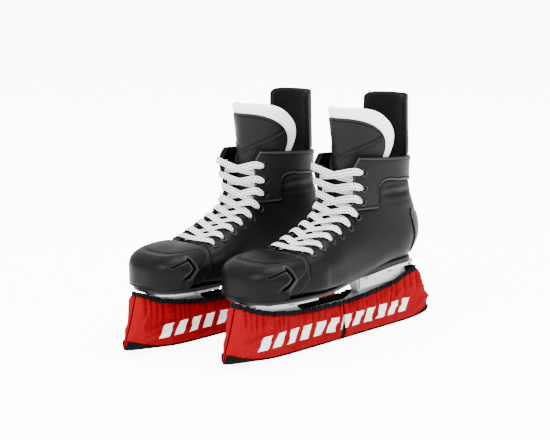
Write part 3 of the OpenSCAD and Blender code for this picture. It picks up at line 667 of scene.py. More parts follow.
def makeQuarter(sideName, side, inward):
    # half of the upper: the skin from the sole to the facing edge, with its grooves, hollow and overlay
    u = (crowded(quarter["rows"]) * lastU)[:, None]
    s = spline(sections, u[:, 0])
    foot = vOfY(u[:, 0], mix(s[:, 4] - quarter["margin"], 0.4, smooth(6.4, 7.8, u[:, 0])))
    v = foot[:, None] + (1 - foot[:, None]) * crowded(quarter["columns"], 0.75)[None]
    p = skin(u, v)
    n = gridNormals(p)
    x, z = p[..., 0], p[..., 2]
    # the overlay in front, with a crease behind its edge
    line = np.array(quarter["panelLine"])
    ahead = x - np.interp(z, line[:, 0], line[:, 1])
    bump = quarter["panelStep"] * smooth(-0.5, 0.7, ahead)
    bump = bump - 0.35 * bell(ahead, -1.1, 0.7)
    # the creased hollow over the ankle
    (dentX, dentZ), (dentLong, dentHigh) = quarter["dentAt"], quarter["dentSize"]
    hollow = np.exp(-((x - dentX) / dentLong) ** 4 - ((z - dentZ) / dentHigh) ** 2)
    bump = bump - hollow * (quarter["dent"] + 0.9 * np.sin(z / 1.9 + 1.4 * noise(x / 22, z / 14, 31)))
    # grooves under the panel's lower edge and round the heel counter
    edge = np.array(panel["edge"])
    seam = skin(edge[:, 1], edge[:, 0])
    groove = bell(lineDistance(x, z, seam[:, ::2]), 0, 1.5)
    bump = bump - 0.9 * groove
    edge = np.array(counter["edge"])
    outline = bell(lineDistance(x, z, skin(edge[:, 0], edge[:, 1])[:, ::2]), 0, 1.4) * smooth(70, 60, x)
    bump = bump - 0.5 * outline
    # painted marks: groove darkens the seams and the crease as painted shade, ridge lightens the overlay's
    # edge and the facing's rim as a painted highlight
    groove = np.maximum(np.maximum(0.8 * groove, 0.9 * outline), 0.9 * bell(ahead, -1.1, 0.8))
    rim = bell(edgeDistance(p), 1.0, 0.8)
    ridge = 0.55 * bell(ahead, 0.7, 0.7) + 0.4 * rim * smooth(0.6, 0.9, v)
    # the waist over the heel, and slight unevenness everywhere
    bump = bump - quarter["pinch"] * bell(z, quarter["pinchAt"], 15) * smooth(34, 4, x)
    bump = bump + 0.14 * noise(x / 24, z / 16, 3) * smooth(0, 20, edgeDistance(p))
    verts, faces = pillow(p, -boot["wall"], 0.0, 1.5, bump, normals=n)
    if inward:
        verts = mirrored(verts)
    name = "inner" if inward else "outer"
    return makeMesh(f"{sideName}.{name}Quarter", verts, faces, side, f"{sideName}_boot", "upper",
                    uv=shellUv(np.stack([ridge, groove], -1)),
                    replaces=[f"{sideName}_{name}_quarter"], flip=inward)


panel = {
    "thickness": 1.4,
    # lower edge as (v, u), from the back of the heel round to the facing edge
    "edge": [(0.0, 11.62), (0.20, 11.62), (0.36, 11.58), (0.46, 11.45), (0.53, 11.38), (0.594, 11.19),
             (0.641, 10.79), (0.672, 10.3), (0.684, 9.8), (0.692, 9.2), (0.700, 8.72), (0.712, 8.42),
             (0.735, 8.2), (0.781, 7.76), (0.857, 7.03), (0.936, 6.34), (0.985, 5.95)],
    "stitchIn": 3.6,               # mm from the panel's edge to its stitches
}


def panelGrid():
    # (u, v) rows from the panel's lower edge up to the collar, round the heel from facing to facing
    edge = np.array(panel["edge"])
    half = spline(edge, np.linspace(0, len(edge) - 1, 150))
    both = np.concatenate([half[:0:-1] * [-1, 1], half])
    p = skin(both[:, 1], both[:, 0])
    run = lengthAlong(p)
    at = crowded(300, 0.4) * run[-1]
    low = resample(at, run, both)
    topV = np.linspace(-0.985, 0.985, len(at))
    t = crowded(42, 0.8)[:, None]
    topV = np.sign(topV) * np.abs(topV) ** 0.9
    return mix(low[None, :, 1], lastU - 0.06, t), mix(low[None, :, 0], topV[None], smooth(0, 1, t))


def acrossAt(distance, run, values, ends=8):
    # one value for each column of a grid, at a distance along the column; the end columns are left out
    return np.array([[np.interp(distance, run[:, j], values[:, j, k]) for k in range(3)]
                     for j in range(ends, values.shape[1] - ends)])


def makePanel(sideName, side):
    # the collar and facing panel, a raised layer with stitches along both edges
    u, v = panelGrid()
    p = skin(u, v)
    n = gridNormals(p)
    n[:, p.shape[1] // 2 - 1:p.shape[1] // 2 + 2] = unit(n[:, [p.shape[1] // 2 - 3]] * [1, 0, 1])
    rim = edgeDistance(p)
    bump = 0.55 * bell(rim, 2.4, 1.1) - 0.15 * bell(rim, panel["stitchIn"], 0.9)
    verts, faces = pillow(p, -0.1, panel["thickness"], 1.2, bump, normals=n)
    # painted highlight along the panel's edge and painted shade along its stitch line
    paintedLightMasks = np.stack([0.8 * bell(rim, 1.4, 0.9), 0.35 * bell(rim, panel["stitchIn"], 0.7)], -1)
    obj = makeMesh(f"{sideName}.collarPanel", verts, faces, side, f"{sideName}_boot", "panel",
                   uv=shellUv(paintedLightMasks), replaces=[f"{sideName}_collar_band"])
    lines = []
    for grid, normals in ((p, n), (p[::-1], n[::-1])):
        step = np.linalg.norm(np.diff(grid, axis=0), axis=-1)
        run = np.concatenate([0 * step[:1], np.cumsum(step, axis=0)])
        out = unit(acrossAt(panel["stitchIn"], run, normals))
        lines.append((acrossAt(panel["stitchIn"], run, grid) + out * (panel["thickness"] + 0.12), out))
    makeStitches(f"{sideName}.collarStitches", lines, side, f"{sideName}_boot", "thread")
    return obj


counter = {
    "edge": [(7.25, 0.25), (7.6, 0.30), (8.0, 0.33), (8.5, 0.376), (9.0, 0.405), (9.35, 0.41), (9.7, 0.39)],
    "thickness": 1.1,
    "swell": 0.7,                  # how much fuller it stands round the heel
}


def makeCounter(sideName, side):
    # the heel counter, a raised layer that stands fuller over the heel
    edge = np.array(counter["edge"])
    e = spline(edge, crowded(60, 0.5) * (len(edge) - 1))
    w = crowded(110, 0.3) * 2 - 1
    u, v = np.repeat(e[:, :1], len(w), 1), e[:, 1:] * w[None]
    p = skin(u, v)
    p[..., 1] = np.where(np.abs(v) < 1e-9, 0, p[..., 1])
    n = gridNormals(p)
    k = p.shape[1] // 2
    n[:, k - 1:k + 2] = unit(n[:, [k - 3]] * [1, 0, 1])
    swell = counter["swell"] * bell(p[..., 2], 117, 17) * smooth(40, 6, p[..., 0])
    verts, faces = pillow(p, -0.2, counter["thickness"], 0.9, swell, normals=n)
    rim = edgeDistance(p)
    # painted highlight along the counter's edge; no painted shade
    paintedLightMasks = np.stack([1.0 * bell(rim, 1.3, 1.0), 0 * rim], -1)
    return makeMesh(f"{sideName}.heelCounter", verts, faces, side, f"{sideName}_boot", "cap",
                    uv=shellUv(paintedLightMasks), replaces=[f"{sideName}_heel_cap"])


toeCap = {
    "rows": 124, "columns": 224,
    "half": ball + 2.6, "height": 45.0, "wall": 2.5,
    "chevron": [(277, 101.5), (266, 105.5), (255.5, 108), (250.5, 98.0), (267.0, 83.8), (281, 83.5)],
    "chevronDepth": 1.9,
    "ridgeDepth": 0.9,
}


def capSurface(t, a, off=0.0):
    # t from 0 at the rear edge to 1 at the toe; a in degrees over the top from the outer side to the inner
    a, h = np.radians(a), np.sin(np.radians(a))
    rear = length * mix(mix(0.885, 0.786, np.clip(h / 0.5, 0, 1)), 0.775, np.clip((h - 0.5) / 0.5, 0, 1))
    c, q = np.cos(a), mix(0.5, 0.70, t)
    y = (toeCap["half"] - off) * np.sign(c) * np.abs(c) ** q * (1 - 0.06 * (1 - h) ** 6)
    turn = np.radians(90 * t)
    x = rear + (length - off - rear) * h ** mix(0.5, 0.8, t) * np.sin(turn) ** 0.55
    z = (toeCap["height"] * (1 - 0.17 * np.sin(turn)) - off) * h ** mix(0.5, 0.38, smooth(0, 0.5, t))
    z = z * np.clip(np.cos(turn), 0, 1) ** 0.29
    return np.stack([x, y + toeShift(x), soleZ(x) + 0.1 + z], -1)


def makeToeCap(sideName, side):
    # the toe cap, with a chevron let into each flank and a sunken deck on top
    # both parameters are bent so that the rows and columns come out evenly spaced on the cap
    q = crowded(toeCap["rows"], 0.35)
    t = (q ** 1.7 / (q ** 1.7 + (1 - q) ** 3.0))[:, None]
    q = np.radians(0.9 + crowded(toeCap["columns"], 0.35) * 178.2)
    q[toeCap["columns"] // 2] = np.pi / 2
    a = np.degrees(np.arctan2(np.sin(q) ** 2, np.sign(np.cos(q)) * np.cos(q) ** 2))[None]
    p = capSurface(t, a)
    n = -gridNormals(p)
    # the rows meet in a point at each lower rear corner, too close there for steady normals
    n[:, :18], n[:, -18:] = n[:, 18:19], n[:, -19:-18]
    n[:3] = n[3:4]
    fade = smooth(0.0, 0.06, np.sin(np.radians(a))) + 0 * t
    x, y, z = p[..., 0], np.abs(p[..., 1]), p[..., 2]
    flank = smooth(14, 24, y) * smooth(0.985, 0.93, t) * smooth(3.5, 8, z - soleZ(x))
    c = toeCap["chevron"]
    arms = lineDistance(x, z, c)
    thick = lineDistance(x, z, c[2:5])
    bump = -0.8 * bell(arms, 0, 0.9) * flank
    bump = bump - toeCap["chevronDepth"] * smooth(2.2, 1.2, thick) * flank
    bump = bump + 0.5 * bell(thick, 3.4, 1.1) * flank
    # the deck on top is set down behind a soft ridge that follows the cap's outline
    ridge = np.array([(0.0, 56.0), (0.065, 57.0), (0.26, 66.0), (0.37, 76.0), (0.40, 84.0), (0.415, 90.0)])
    edgeT = np.interp(90 - np.abs(a - 90), ridge[:, 1], ridge[:, 0], left=-1)
    inside = (edgeT - t) * 60
    bump = bump - toeCap["ridgeDepth"] * smooth(-0.5, 3.5, inside)
    bump = bump - 0.4 * bell(inside, 6, 1.0) * (edgeT > 0.05)
    bump = bump - 0.5 * bell(z - soleZ(x), 3.2, 0.8) * smooth(228, 262, x)
    # painted highlight on the chevron's rims, the rear edge and the deck's ridge; painted shade in the
    # chevron and the deck's groove
    ridge = (0.8 * bell(thick, 3.2, 0.8) + 0.45 * bell(arms, 1.5, 0.5)) * flank
    ridge = ridge + 0.6 * bell(edgeDistance(p), 1.0, 0.8) * (t < 0.5)
    ridge = ridge + 0.35 * bell(inside, -0.6, 1.2) * (edgeT > 0.02)
    groove = np.maximum(smooth(2.4, 1.5, thick), bell(arms, 0, 1.0)) * flank
    groove = np.maximum(groove, 0.8 * bell(inside, 6, 1.0) * (edgeT > 0.05))
    paintedLightMasks = np.stack([np.clip(ridge, 0, 1), groove], -1)
    verts, faces = pillow(p, -toeCap["wall"] * mix(0.2, 1, fade), 0.0, 1.1, bump * fade, normals=n)
    return makeMesh(f"{sideName}.toeCap", verts, faces, side, f"{sideName}_boot", "cap",
                    uv=shellUv(paintedLightMasks), replaces=[f"{sideName}_toe_cap"], flip=True)


eyelets = {
    "hole": 2.45,
    "stations": [11.7, 10.05, 8.25, 6.35, 5.0, 4.0, 3.0, 2.0, 1.05],
    "inset": 14.0,
    # (radius, height) of the rim
    "profile": [(2.35, -0.4), (2.35, 0.5), (2.6, 0.95), (3.1, 1.15), (3.9, 1.1), (4.7, 0.75), (5.15, 0.3),
                (5.2, -0.2)],
}


def eyeletLift(u):
    # the upper eyelets sit on the panel, the lower ones on the quarter
    return panel["thickness"] if u > 6.2 else 0.0


def eyeletPlaces():
    # station, side, point and normal of every eyelet
    for u in eyelets["stations"]:
        v = vFromEdge(u, eyelets["inset"])
        for side in (1.0, -1.0):
            n = skinNormal(u, v, side)
            p = skin(u, side * v)
            yield u, side, p + n * eyeletLift(u), n


def makeEyelets(sideName, side):
    # each eyelet is its profile turned round the hole's axis, over a thin black disc that is painted shade
    # standing in for the dark inside of the hole
    count = 32
    ring = np.linspace(0, 2 * np.pi, count, endpoint=False)
    profile = np.array(eyelets["profile"])
    index = np.arange(len(profile) * count).reshape(-1, count)
    index = np.concatenate([index, index[:, :1]], 1)
    ringFaces = gridFaces(np.concatenate([index, index[:1]], 0))
    high, low = np.arange(count), count + np.arange(count)
    middle, after = slice(1, count - 1), slice(2, count)
    first = np.zeros(count - 2, int)
    discFaces = np.concatenate([
        np.stack([first, high[middle], high[after], high[after]], -1),
        np.stack([first + count, low[after], low[middle], low[middle]], -1),
        np.stack([high, low, np.roll(low, -1), np.roll(high, -1)], -1),
    ])
    rings, discs = [], []
    for _, _, p, n in eyeletPlaces():
        a = unit(np.cross(n, [0.0, 0.0, 1.0]))
        around = np.cos(ring)[:, None] * a + np.sin(ring)[:, None] * np.cross(n, a)
        rings.append((p + profile[:, None, :1] * around[None] + profile[:, None, 1:] * n).reshape(-1, 3))
        discs += [p + eyelets["hole"] * around + n * 0.14, p + eyelets["hole"] * around + n * 0.04]
    places = np.arange(len(rings))[:, None, None]
    ringFaces = (ringFaces + places * len(profile) * count).reshape(-1, 4)
    discFaces = (discFaces + places * 2 * count).reshape(-1, 4)
    body = f"{sideName}_boot"
    makeMesh(f"{sideName}.eyelets", np.concatenate(rings), ringFaces, side, body, "eyelet",
             replaces=[f"{sideName}_eyelets"])
    # the discs are painted shade in the holes, made in the black felt material
    makeMesh(f"{sideName}.eyeletHoleShade", np.concatenate(discs), discFaces, side, body, "blackFelt")


lace = {
    "width": 8.2,
    "thickness": 1.25,
    "high": 1.5,                   # how far it lies over the facing
    "low": 4.7,                    # how far it runs under the facing
    "color": (0.64, 0.64, 0.64),
    "tracer": (0.008, 0.008, 0.008),
    "dashEvery": 3.9,              # mm between dashes in a row
    "dashLength": 0.5,             # share of that which is dark
    "rowAt": 0.45,                 # where the rows run, from the middle to the edge
    "rowHalf": 0.15,
}


def laceMaterial():
    # white woven tape with two rows of dark dashes; UV is (length in mm, -1 to 1 across)
    tree, shader = newMaterial("lace", lace["color"], 0.8)
    uv, scaled = uvMap(tree, 1.25, 4.5)
    weave = joinGroup(tree, "weave", {"UV": scaled, "Bump": 0.65, "Depth": 0.0004})
    tree.links.new(weave.outputs["Normal"], shader.inputs["Normal"])
    split = addNode(tree, "ShaderNodeSeparateXYZ", {0: uv})
    across = math2(tree, "ABSOLUTE", split.outputs[1])
    row = math2(tree, "LESS_THAN", math2(tree, "ABSOLUTE", math2(tree, "SUBTRACT", across, lace["rowAt"])),
                lace["rowHalf"])
    turn = math2(tree, "MULTIPLY", math2(tree, "GREATER_THAN", split.outputs[1], 0.0), 0.5)
    along = math2(tree, "DIVIDE", split.outputs[0], lace["dashEvery"])
    phase = math2(tree, "FRACT", math2(tree, "ADD", along, turn))
    dash = math2(tree, "MULTIPLY", row, math2(tree, "LESS_THAN", phase, lace["dashLength"]))
    # painted shade: the tape is darker where the threads dip
    base = addNode(tree, "ShaderNodeMix", {0: weave.outputs["Height"]}, data_type="RGBA")
    base.inputs[6].default_value = (*(c * 0.84 for c in lace["color"]), 1)
    base.inputs[7].default_value = (*lace["color"], 1)
    color = addNode(tree, "ShaderNodeMix", {0: dash, 6: base.outputs[2]}, data_type="RGBA")
    color.inputs[7].default_value = (*lace["tracer"], 1)
    tree.links.new(color.outputs[2], shader.inputs["Base Color"])
    shader.inputs["Specular IOR Level"].default_value = 0.2


laceMaterial()


def laceStops():
    # the lace's route as (point, direction of its flat, width, thickness), bottom bar in the middle
    stations = eyelets["stations"]

    def flat(u):
        # the way the facing runs, which the lace's flat side follows
        a, b = spline(sections, min(u + 0.3, lastU)), spline(sections, max(u - 0.3, 0))
        return unit(np.array([a[2] - b[2], 0, a[3] - b[3]]))

    def over(u, d, s, lift, w, h=None):
        # a stop on the facing, d inside its edge and lifted off the skin
        v = vFromEdge(u, d)
        p = skin(u, s * v) + skinNormal(u, v, s) * lift
        return p, flat(u), w, h or lace["thickness"]

    def middle(u, lift):
        # a stop halfway between the two facings
        s = spline(sections, u)
        d = unit(np.array([s[2] - s[0], 0, s[3] - s[1]]))
        p = np.array([s[2] + d[0] * lift, toeShift(s[2]), s[3] + d[2] * lift])
        return p, flat(u), lace["width"], lace["thickness"]

    def into(u, s):
        # the stops that gather the lace and take it down through an eyelet
        k = eyeletLift(u)
        return [over(u, 0.5, s, k + lace["high"], lace["width"]),
                over(u, eyelets["inset"] - 8, s, k + lace["high"] + 0.5, lace["width"] * 0.92),
                over(u, eyelets["inset"] - 5.2, s, k + lace["high"] + 0.5, lace["width"] * 0.68),
                over(u, eyelets["inset"] - 3.4, s, k + 1.6, 4.6, 1.4),
                over(u, eyelets["inset"] - 2.1, s, k + 0.5, 3.9, 1.5),
                over(u, eyelets["inset"] - 1.6, s, -2.6, 3.6, 1.5),
                over(u, eyelets["inset"] - 1.2, s, -lace["low"], 3.6, 1.6)]

    def under(u, nextU, s, lift):
        # the stops from under a facing up to the middle of the next crossing
        return [over(mix(u, nextU, 0.12), eyelets["inset"] - 7, s, -lace["low"], lace["width"] * 0.8),
                over(mix(u, nextU, 0.25), 0.6, s, -lace["low"] - 0.4, lace["width"]),
                middle(mix(u, nextU, 0.55), lift)]

    def half(side):
        # one half of the lace, from its end at the top down to the bottom bar
        stops = []
        for k in range(len(stations) - 1, -1, -1):
            s = side * (1 if (len(stations) - 1 - k) % 2 == 0 else -1)
            stops += into(stations[k], s)
            if k:
                stops += under(stations[k], stations[k - 1], s, 0.6 if s < 0 else -1.2)
        return stops

    return half(1.0)[::-1] + [middle(0.95, 1.7)] + half(-1.0)


def makeLace(sideName, side):
    # a spline through the stops, walked at even steps and swept with a flat section
    stops = laceStops()
    points = np.array([s[0] for s in stops])
    table = np.concatenate([points, np.array([np.append(s[1], s[2:]) for s in stops])], 1)
    u = np.linspace(0, len(stops) - 1, (len(stops) - 1) * 7 + 1)
    rows = spline(table, u)
    path, flat = rows[:, :3], rows[:, 3:6]
    run = lengthAlong(path)
    at = np.linspace(0, run[-1], int(run[-1] / 1.1))
    path, flat, size = resample(at, run, path), resample(at, run, flat), resample(at, run, rows[:, 6:8])
    kernel = np.ones(3) / 3
    for _ in range(2):
        path[1:-1] = np.stack([np.convolve(path[:, c], kernel, "valid") for c in range(3)], -1)
    tangent = unit(np.gradient(path, axis=0))
    wide = unit(flat - tangent * np.sum(flat * tangent, -1, keepdims=True))
    for _ in range(4):
        wide[1:-1] = unit(wide[:-2] + wide[1:-1] + wide[2:])
    wide = unit(wide - tangent * np.sum(wide * tangent, -1, keepdims=True))
    thick = np.cross(tangent, wide)
    width = np.clip(size[:, 0], 3.2, 9)
    verts, faces, uv = sweep(path, wide, thick, width, size[:, 1], 3.0, 14)
    makeMesh(f"{sideName}.lace", verts, faces, side, f"{sideName}_boot", "lace", uv=uv,
             replaces=[f"{sideName}_lace"])
    print("lace length", sideName, round(float(run[-1]) / 1000, 3), "m")


tongue = {
    # down the middle: x, z, direction out of the boot (x, z), half width, wrap depth
    "line": [(0.770, 0.262, 0.10, 0.99, 23, 4), (0.714, 0.290, 0.15, 0.99, 24, 5),
             (0.660, 0.335, 0.25, 0.97, 25, 6), (0.556, 0.438, 0.45, 0.89, 27, 9),
             (0.468, 0.550, 0.76, 0.65, 28, 16), (0.436, 0.672, 0.89, 0.45, 28, 27),
             (0.438, 0.800, 0.95, 0.31, 28.5, 38), (0.441, 0.945, 0.99, 0.14, 29.5, 48),
             (0.444, 1.080, 1.00, 0.02, 34, 60), (0.450, 1.260, 1.00, -0.06, 40, 68),
             (0.460, 196 / 135, 1.00, -0.08, 44.5, 71)],
    "felt": 7.0,                   # thickness
    "shoulder": 1.9,               # how far the rounded top drops at its two ends, in stations
    # (angle, station) of the slanting seam, the same on both halves
    "seam": [(0.0, 7.7), (20.0, 8.0), (52.0, 8.45), (66.0, 8.7)],
}
tongueTable = np.array([(x * length, height(z), a, b, w, d) for x, z, a, b, w, d in tongue["line"]])


def tongueSurface(u, a, off=0.0):
    # below station 0 the tongue runs straight on under the toe cap
    u = np.asarray(u, float)
    s = spline(tongueTable, np.maximum(u, 0))
    s = s + np.minimum(u, 0)[..., None] * (tongueTable[1] - tongueTable[0])
    d = unit(s[..., 2:4])
    r = np.radians(a)
    back = (s[..., 5] + off) * (1 - np.cos(r))
    x = s[..., 0] + d[..., 0] * (off - back)
    y = (s[..., 4] + off) * np.sin(r) + toeShift(s[..., 0])
    return np.stack([x, y, s[..., 1] + d[..., 1] * (off - back)], -1)


def tongueTop(w, drop):
    # w is the share of the wrap, -1 to 1
    fall = 1 - np.sqrt(np.clip(1 - np.abs(w) ** 2.7, 0, 1))
    return len(tongueTable) - 1 - drop - (tongue["shoulder"] - drop * 0.7) * fall


def tongueGrid(rows, columns, wrapLow, wrapHigh, drop, start):
    # (station, angle) rows from the toe to the rounded top, wrapping further round higher up
    w = (crowded(columns, 0.85) * 2 - 1)[None]
    t = crowded(rows, 0.6)[:, None]
    u0 = mix(start, tongueTop(w, drop), t)
    wrap = mix(wrapLow, wrapHigh, smooth(2, 5, u0))
    return u0, w * wrap


def makeTongue(sideName, side):
    # the thick white felt and its black face
    u, a = tongueGrid(130, 100, 62, 84, 0, -1.1)
    p = tongueSurface(u, a, -1.5)
    n = -gridNormals(p)
    soft = 0.45 * noise(u * 3.1, a / 9, 8)
    rim = smooth(16, 4, edgeDistance(p)) * smooth(7.5, 9, u)
    verts, faces = pillow(p, -mix(tongue["felt"] * 0.7, tongue["felt"], smooth(7, 8.5, u)), 0.0, 3.4,
                          soft + rim * 1.1, -soft * 0.6, normals=n)
    felt = makeMesh(f"{sideName}.tongueFelt", verts, faces, side, None, "whiteFelt", flip=True)
    u, a = tongueGrid(160, 110, 53, 73, 0.5, -1.0)
    p = tongueSurface(u, a, 0.0)
    n = -gridNormals(p)
    seam = np.array(tongue["seam"])
    line = np.interp(np.abs(a), seam[:, 0], seam[:, 1], right=8.8)
    below = (line - u) * 25
    bump = 0.6 * smooth(-0.6, 0.8, below) - 0.45 * bell(below, -1.1, 0.7)
    bump = bump + 0.25 * noise(u * 2.2, a / 14, 5) + 0.5 * np.cos(np.clip(a / 73, -1, 1) * np.pi / 2)
    verts, faces = pillow(p, -1.5, 0.0, 0.9, bump, normals=n)
    rim = edgeDistance(p)
    high = smooth(7, 8, u)
    # painted highlight along the seam's raised edge and the top rim; painted shade in the seam's groove and
    # along the top stitch line
    ridge = 0.6 * bell(below, 0.7, 0.8) + 0.5 * bell(rim, 1.0, 0.8) * high
    groove = np.maximum(0.9 * bell(below, -1.2, 0.9), 0.5 * bell(rim, 3.3, 0.6) * high)
    face = makeMesh(f"{sideName}.tongueFace", verts, faces, side, None, "tongue",
                    uv=shellUv(np.stack([ridge, groove], -1)), flip=True)
    lines = []
    for shift in (-0.085, -0.20):
        aa = np.linspace(-66, 66, 120)
        uu = np.interp(np.abs(aa), seam[:, 0], seam[:, 1]) + shift
        q = tongueSurface(uu, aa, 1.05)
        lines.append((q, unit(tongueSurface(uu, aa, 2.0) - tongueSurface(uu, aa, 0.0))))
    aa = np.linspace(-69, 69, 240)
    uu = tongueTop(aa / 73, 0.5) - 0.13
    lines.append((tongueSurface(uu, aa, 0.35), unit(tongueSurface(uu, aa, 2.0) - tongueSurface(uu, aa, 0.0))))
    stitches = makeStitches(f"{sideName}.tongueStitches", lines, side, None, "thread")
    for obj in (felt, face, stitches):
        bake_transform(obj)
    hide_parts(f"{sideName}_tongue_felt", f"{sideName}_tongue_top_felt")
    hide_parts(f"{sideName}_tongue_face", f"{sideName}_tongue_top_face")


guard = {
    "half": collar - 3, "front": 0.186 * length, "depth": 0.103 * length, "wrap": 80.0,
    "base": 196.0, "top": 282.0, "felt": 6.0, "cornerDrop": 9.0,
}


def guardSurface(z, a, off):
    # half an ellipse round the back, narrowing a little upwards and drawn in below the collar
    r, t = np.radians(a), smooth(205, 282, z)
    w = guard["half"] - 2.5 * t
    inset = smooth(214, 200, z) * 3.2
    x = guard["front"] - (guard["depth"] + off - inset) * np.cos(r)
    return np.stack([x, (w + off - inset * 1.6) * np.sin(r), z + 0 * r], -1)


def makeGuard(sideName, side):
    # the tendon guard and its padded lining
    made = []
    for kind, off, low, high, edge, trim in (("tendonGuard", 0.0, -2.2, 0.0, 1.0, 0.0),
                                             ("tendonLining", -2.3, -guard["felt"], 0.0, 2.6, 1.0)):
        w = (crowded(76, 0.6) * 2 - 1)[None]
        a = w * (guard["wrap"] - trim)
        top = guard["top"] - trim - guard["cornerDrop"] * (1 - np.sqrt(1 - np.abs(w) ** 9))
        z = mix(guard["base"], top, crowded(76, 0.6)[:, None])
        p = guardSurface(z, a, off)
        n = gridNormals(p)
        lining = kind == "tendonLining"
        soft = 0.35 * noise(z / 15, a / 13, 4 if lining else 9)
        outer, inner = (0.0, -np.abs(soft)) if lining else (soft * 0.4, 0.0)
        verts, faces = pillow(p, low, high, edge, outer, inner, normals=n)
        material, slotName = ("blackFelt", "guard_felt") if lining else ("upper", "boot_shell")
        made.append(makeMesh(f"{sideName}.{kind}", verts, faces, side, None, material))
    for obj, node in zip(made, ("tendon_guard", "tendon_lining")):
        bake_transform(obj)
        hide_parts(f"{sideName}_{node}")


inside = {
    "liner": 1.5,
    "pad": 3.0,                    # padding over the ankle
    "bed": 9.4,                    # height of the footbed's top over the sole
    "bedInset": 14,                # how much narrower it is than the sole, on each side
}


def soleHalf(x, tip=0.255):
    # half the sole's width: full at the ball, drawn in at the heel, rounded off at the toe and the back
    share = x / length
    toe, back = np.clip((share - 0.74) / tip, 0, 1), np.clip((0.12 - share) / 0.11, 0, 1)
    wide = (ball - 1.5) * (1 - toe ** 2.5) ** 0.4 * (1 - back ** 2.3) ** (1 / 2.3)
    return wide * mix(1, (heel - 3.5) / (ball - 1.5), 1 - smooth(0.36, 0.72, share))


def makeInside(sideName, side):
    # lining, ankle pads and footbed
    body = f"{sideName}_boot"
    for s, flank in ((1.0, "Out"), (-1.0, "In")):
        u = mix(1.0, lastU - 0.08, crowded(90, 0.6))[:, None]
        foot = np.maximum(vOfY(u[:, 0], 0.4 + 0 * u[:, 0]), 0.36 * (1 - smooth(6.8, 8.4, u[:, 0])))[:, None]
        v = mix(foot, 0.70, crowded(36, 0.6)[None])
        p = skin(u, v)
        n = gridNormals(p)
        swell = inside["pad"] * smooth(6.5, 7.6, u) * (1 - smooth(11.4, 12.2, u))
        high = -boot["wall"] - 0.6 - swell + 0 * v
        verts, faces = pillow(p, high - inside["liner"] + 0.3 * noise(u * 2, v * 9, 6), high, 1.0, normals=n)
        if s < 0:
            verts = mirrored(verts)
        obj = makeMesh(f"{sideName}.liner{flank}", verts, faces, side, body, "liner", flip=s < 0)
        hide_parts(f"{sideName}_liner")
        u = mix(8.4, 10.8, crowded(40, 0.5))[:, None]
        v = mix(0.24, 0.62, crowded(40, 0.5)[None])
        p = skin(u, v)
        verts, faces = pillow(p, -boot["wall"] - inside["pad"] + 0.3, -boot["wall"] - 0.6, 2.0)
        if s < 0:
            verts = mirrored(verts)
        obj = makeMesh(f"{sideName}.anklePad{flank}", verts, faces, side, body, "foam", flip=s < 0)
        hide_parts(f"{sideName}_ankle_pads")
    x = mix(0.14, 0.92, crowded(110, 0.8))[:, None] * length
    share = x / length
    wide = soleHalf(x, 0.245) - inside["bedInset"]
    w = crowded(60, 0.7)[None] * 2 - 1
    ends = np.sqrt(np.clip(1 - np.abs((x - 0.53 * length) / (0.39 * length)) ** 12, 0, 1)) * 0.25 + 0.75
    p = np.stack([x + 0 * w, w * wide * ends + toeShift(x), soleZ(x) + inside["bed"] + 0 * w], -1)
    bump = 1.2 * np.abs(w) ** 3 * smooth(0.5, 0.2, share) - 0.4 + 0.1 * noise(x / 9, p[..., 1] / 9, 2)
    verts, faces = pillow(p, -3.4, 0.0, 1.4, bump, normals=np.broadcast_to([0.0, 0.0, 1.0], p.shape))
    bed = makeMesh(f"{sideName}.footbed", verts, faces, side, body, "footbed",
                   replaces=[f"{sideName}_footbed"])


sole = {
    "thickness": 3.9,
    "tuck": 5.5,                   # how far it lies inside the holder's flange at the heel
    # slots in the holder's edge: centre, outward direction, length, height
    "slots": [((268.4, 24.5, 68.6), (0.6, 0.8), 9.0, 1.5), ((243.9, 35.4, 67.4), (0.2, 0.98), 9.0, 1.5),
              ((66.0, 26.5, 74.6), (0.0, 1.0), 9.0, 1.5), ((28.0, 26.4, 77.6), (0.0, 1.0), 8.0, 1.5)],
}


def makeSole(sideName, side):
    # the outsole, and the dark slots in the holder's edge
    q = crowded(160, 0.9)[:, None]
    x = mix(2.9 + sole["tuck"], 288.0, q)
    inset = sole["tuck"] * (1 - smooth(110, 210, x))
    w = crowded(60, 0.7)[None] * 2 - 1
    wide = np.maximum(soleHalf(np.maximum(x - sole["tuck"] * (1 - q), 3.2)) - inset, 0.6)
    p = np.stack([x + 0 * w, w * wide + toeShift(x), soleZ(x) - 0.05 + 0 * w], -1)
    up = np.broadcast_to([0.0, 0.0, 1.0], p.shape)
    lift = 1.6 * (1 - smooth(110, 210, x))
    verts, faces = pillow(p, -sole["thickness"], lift, 1.0, normals=up)
    makeMesh(f"{sideName}.outsole", verts, faces, side, f"{sideName}_boot", "sole",
             replaces=[f"{sideName}_outsole"])
    slots = []
    for centre, (nx, ny), long, tall in sole["slots"]:
        for flank in (1.0, -1.0):
            c = np.array(centre) * [1, flank, 1]
            c[1] += toeShift(c[0]) * (1 - flank)
            along, out = np.array([ny, -nx * flank, 0.0]), np.array([nx, ny * flank, 0.0])
            e = np.linspace(-1, 1, 17)[:, None]
            r = tall / 2 * np.sqrt(np.clip(1 - e ** 6, 0, 1))
            path = c + along * e * long / 2 - out * 0.55
            up, outward = np.array([0, 0, 1.0]) + 0 * path, out + 0 * path
            slots.append(sweep(path, up, outward, 2 * r[:, 0] + 0.05, 1.4, 4.0, 12))
    verts, faces, count = [], [], 0
    for v, f, _ in slots:
        verts.append(v)
        faces.append(f + count)
        count += len(v)
    makeMesh(f"{sideName}.holderSlots", np.concatenate(verts), np.concatenate(faces), side,
             f"{sideName}_boot", "sole")


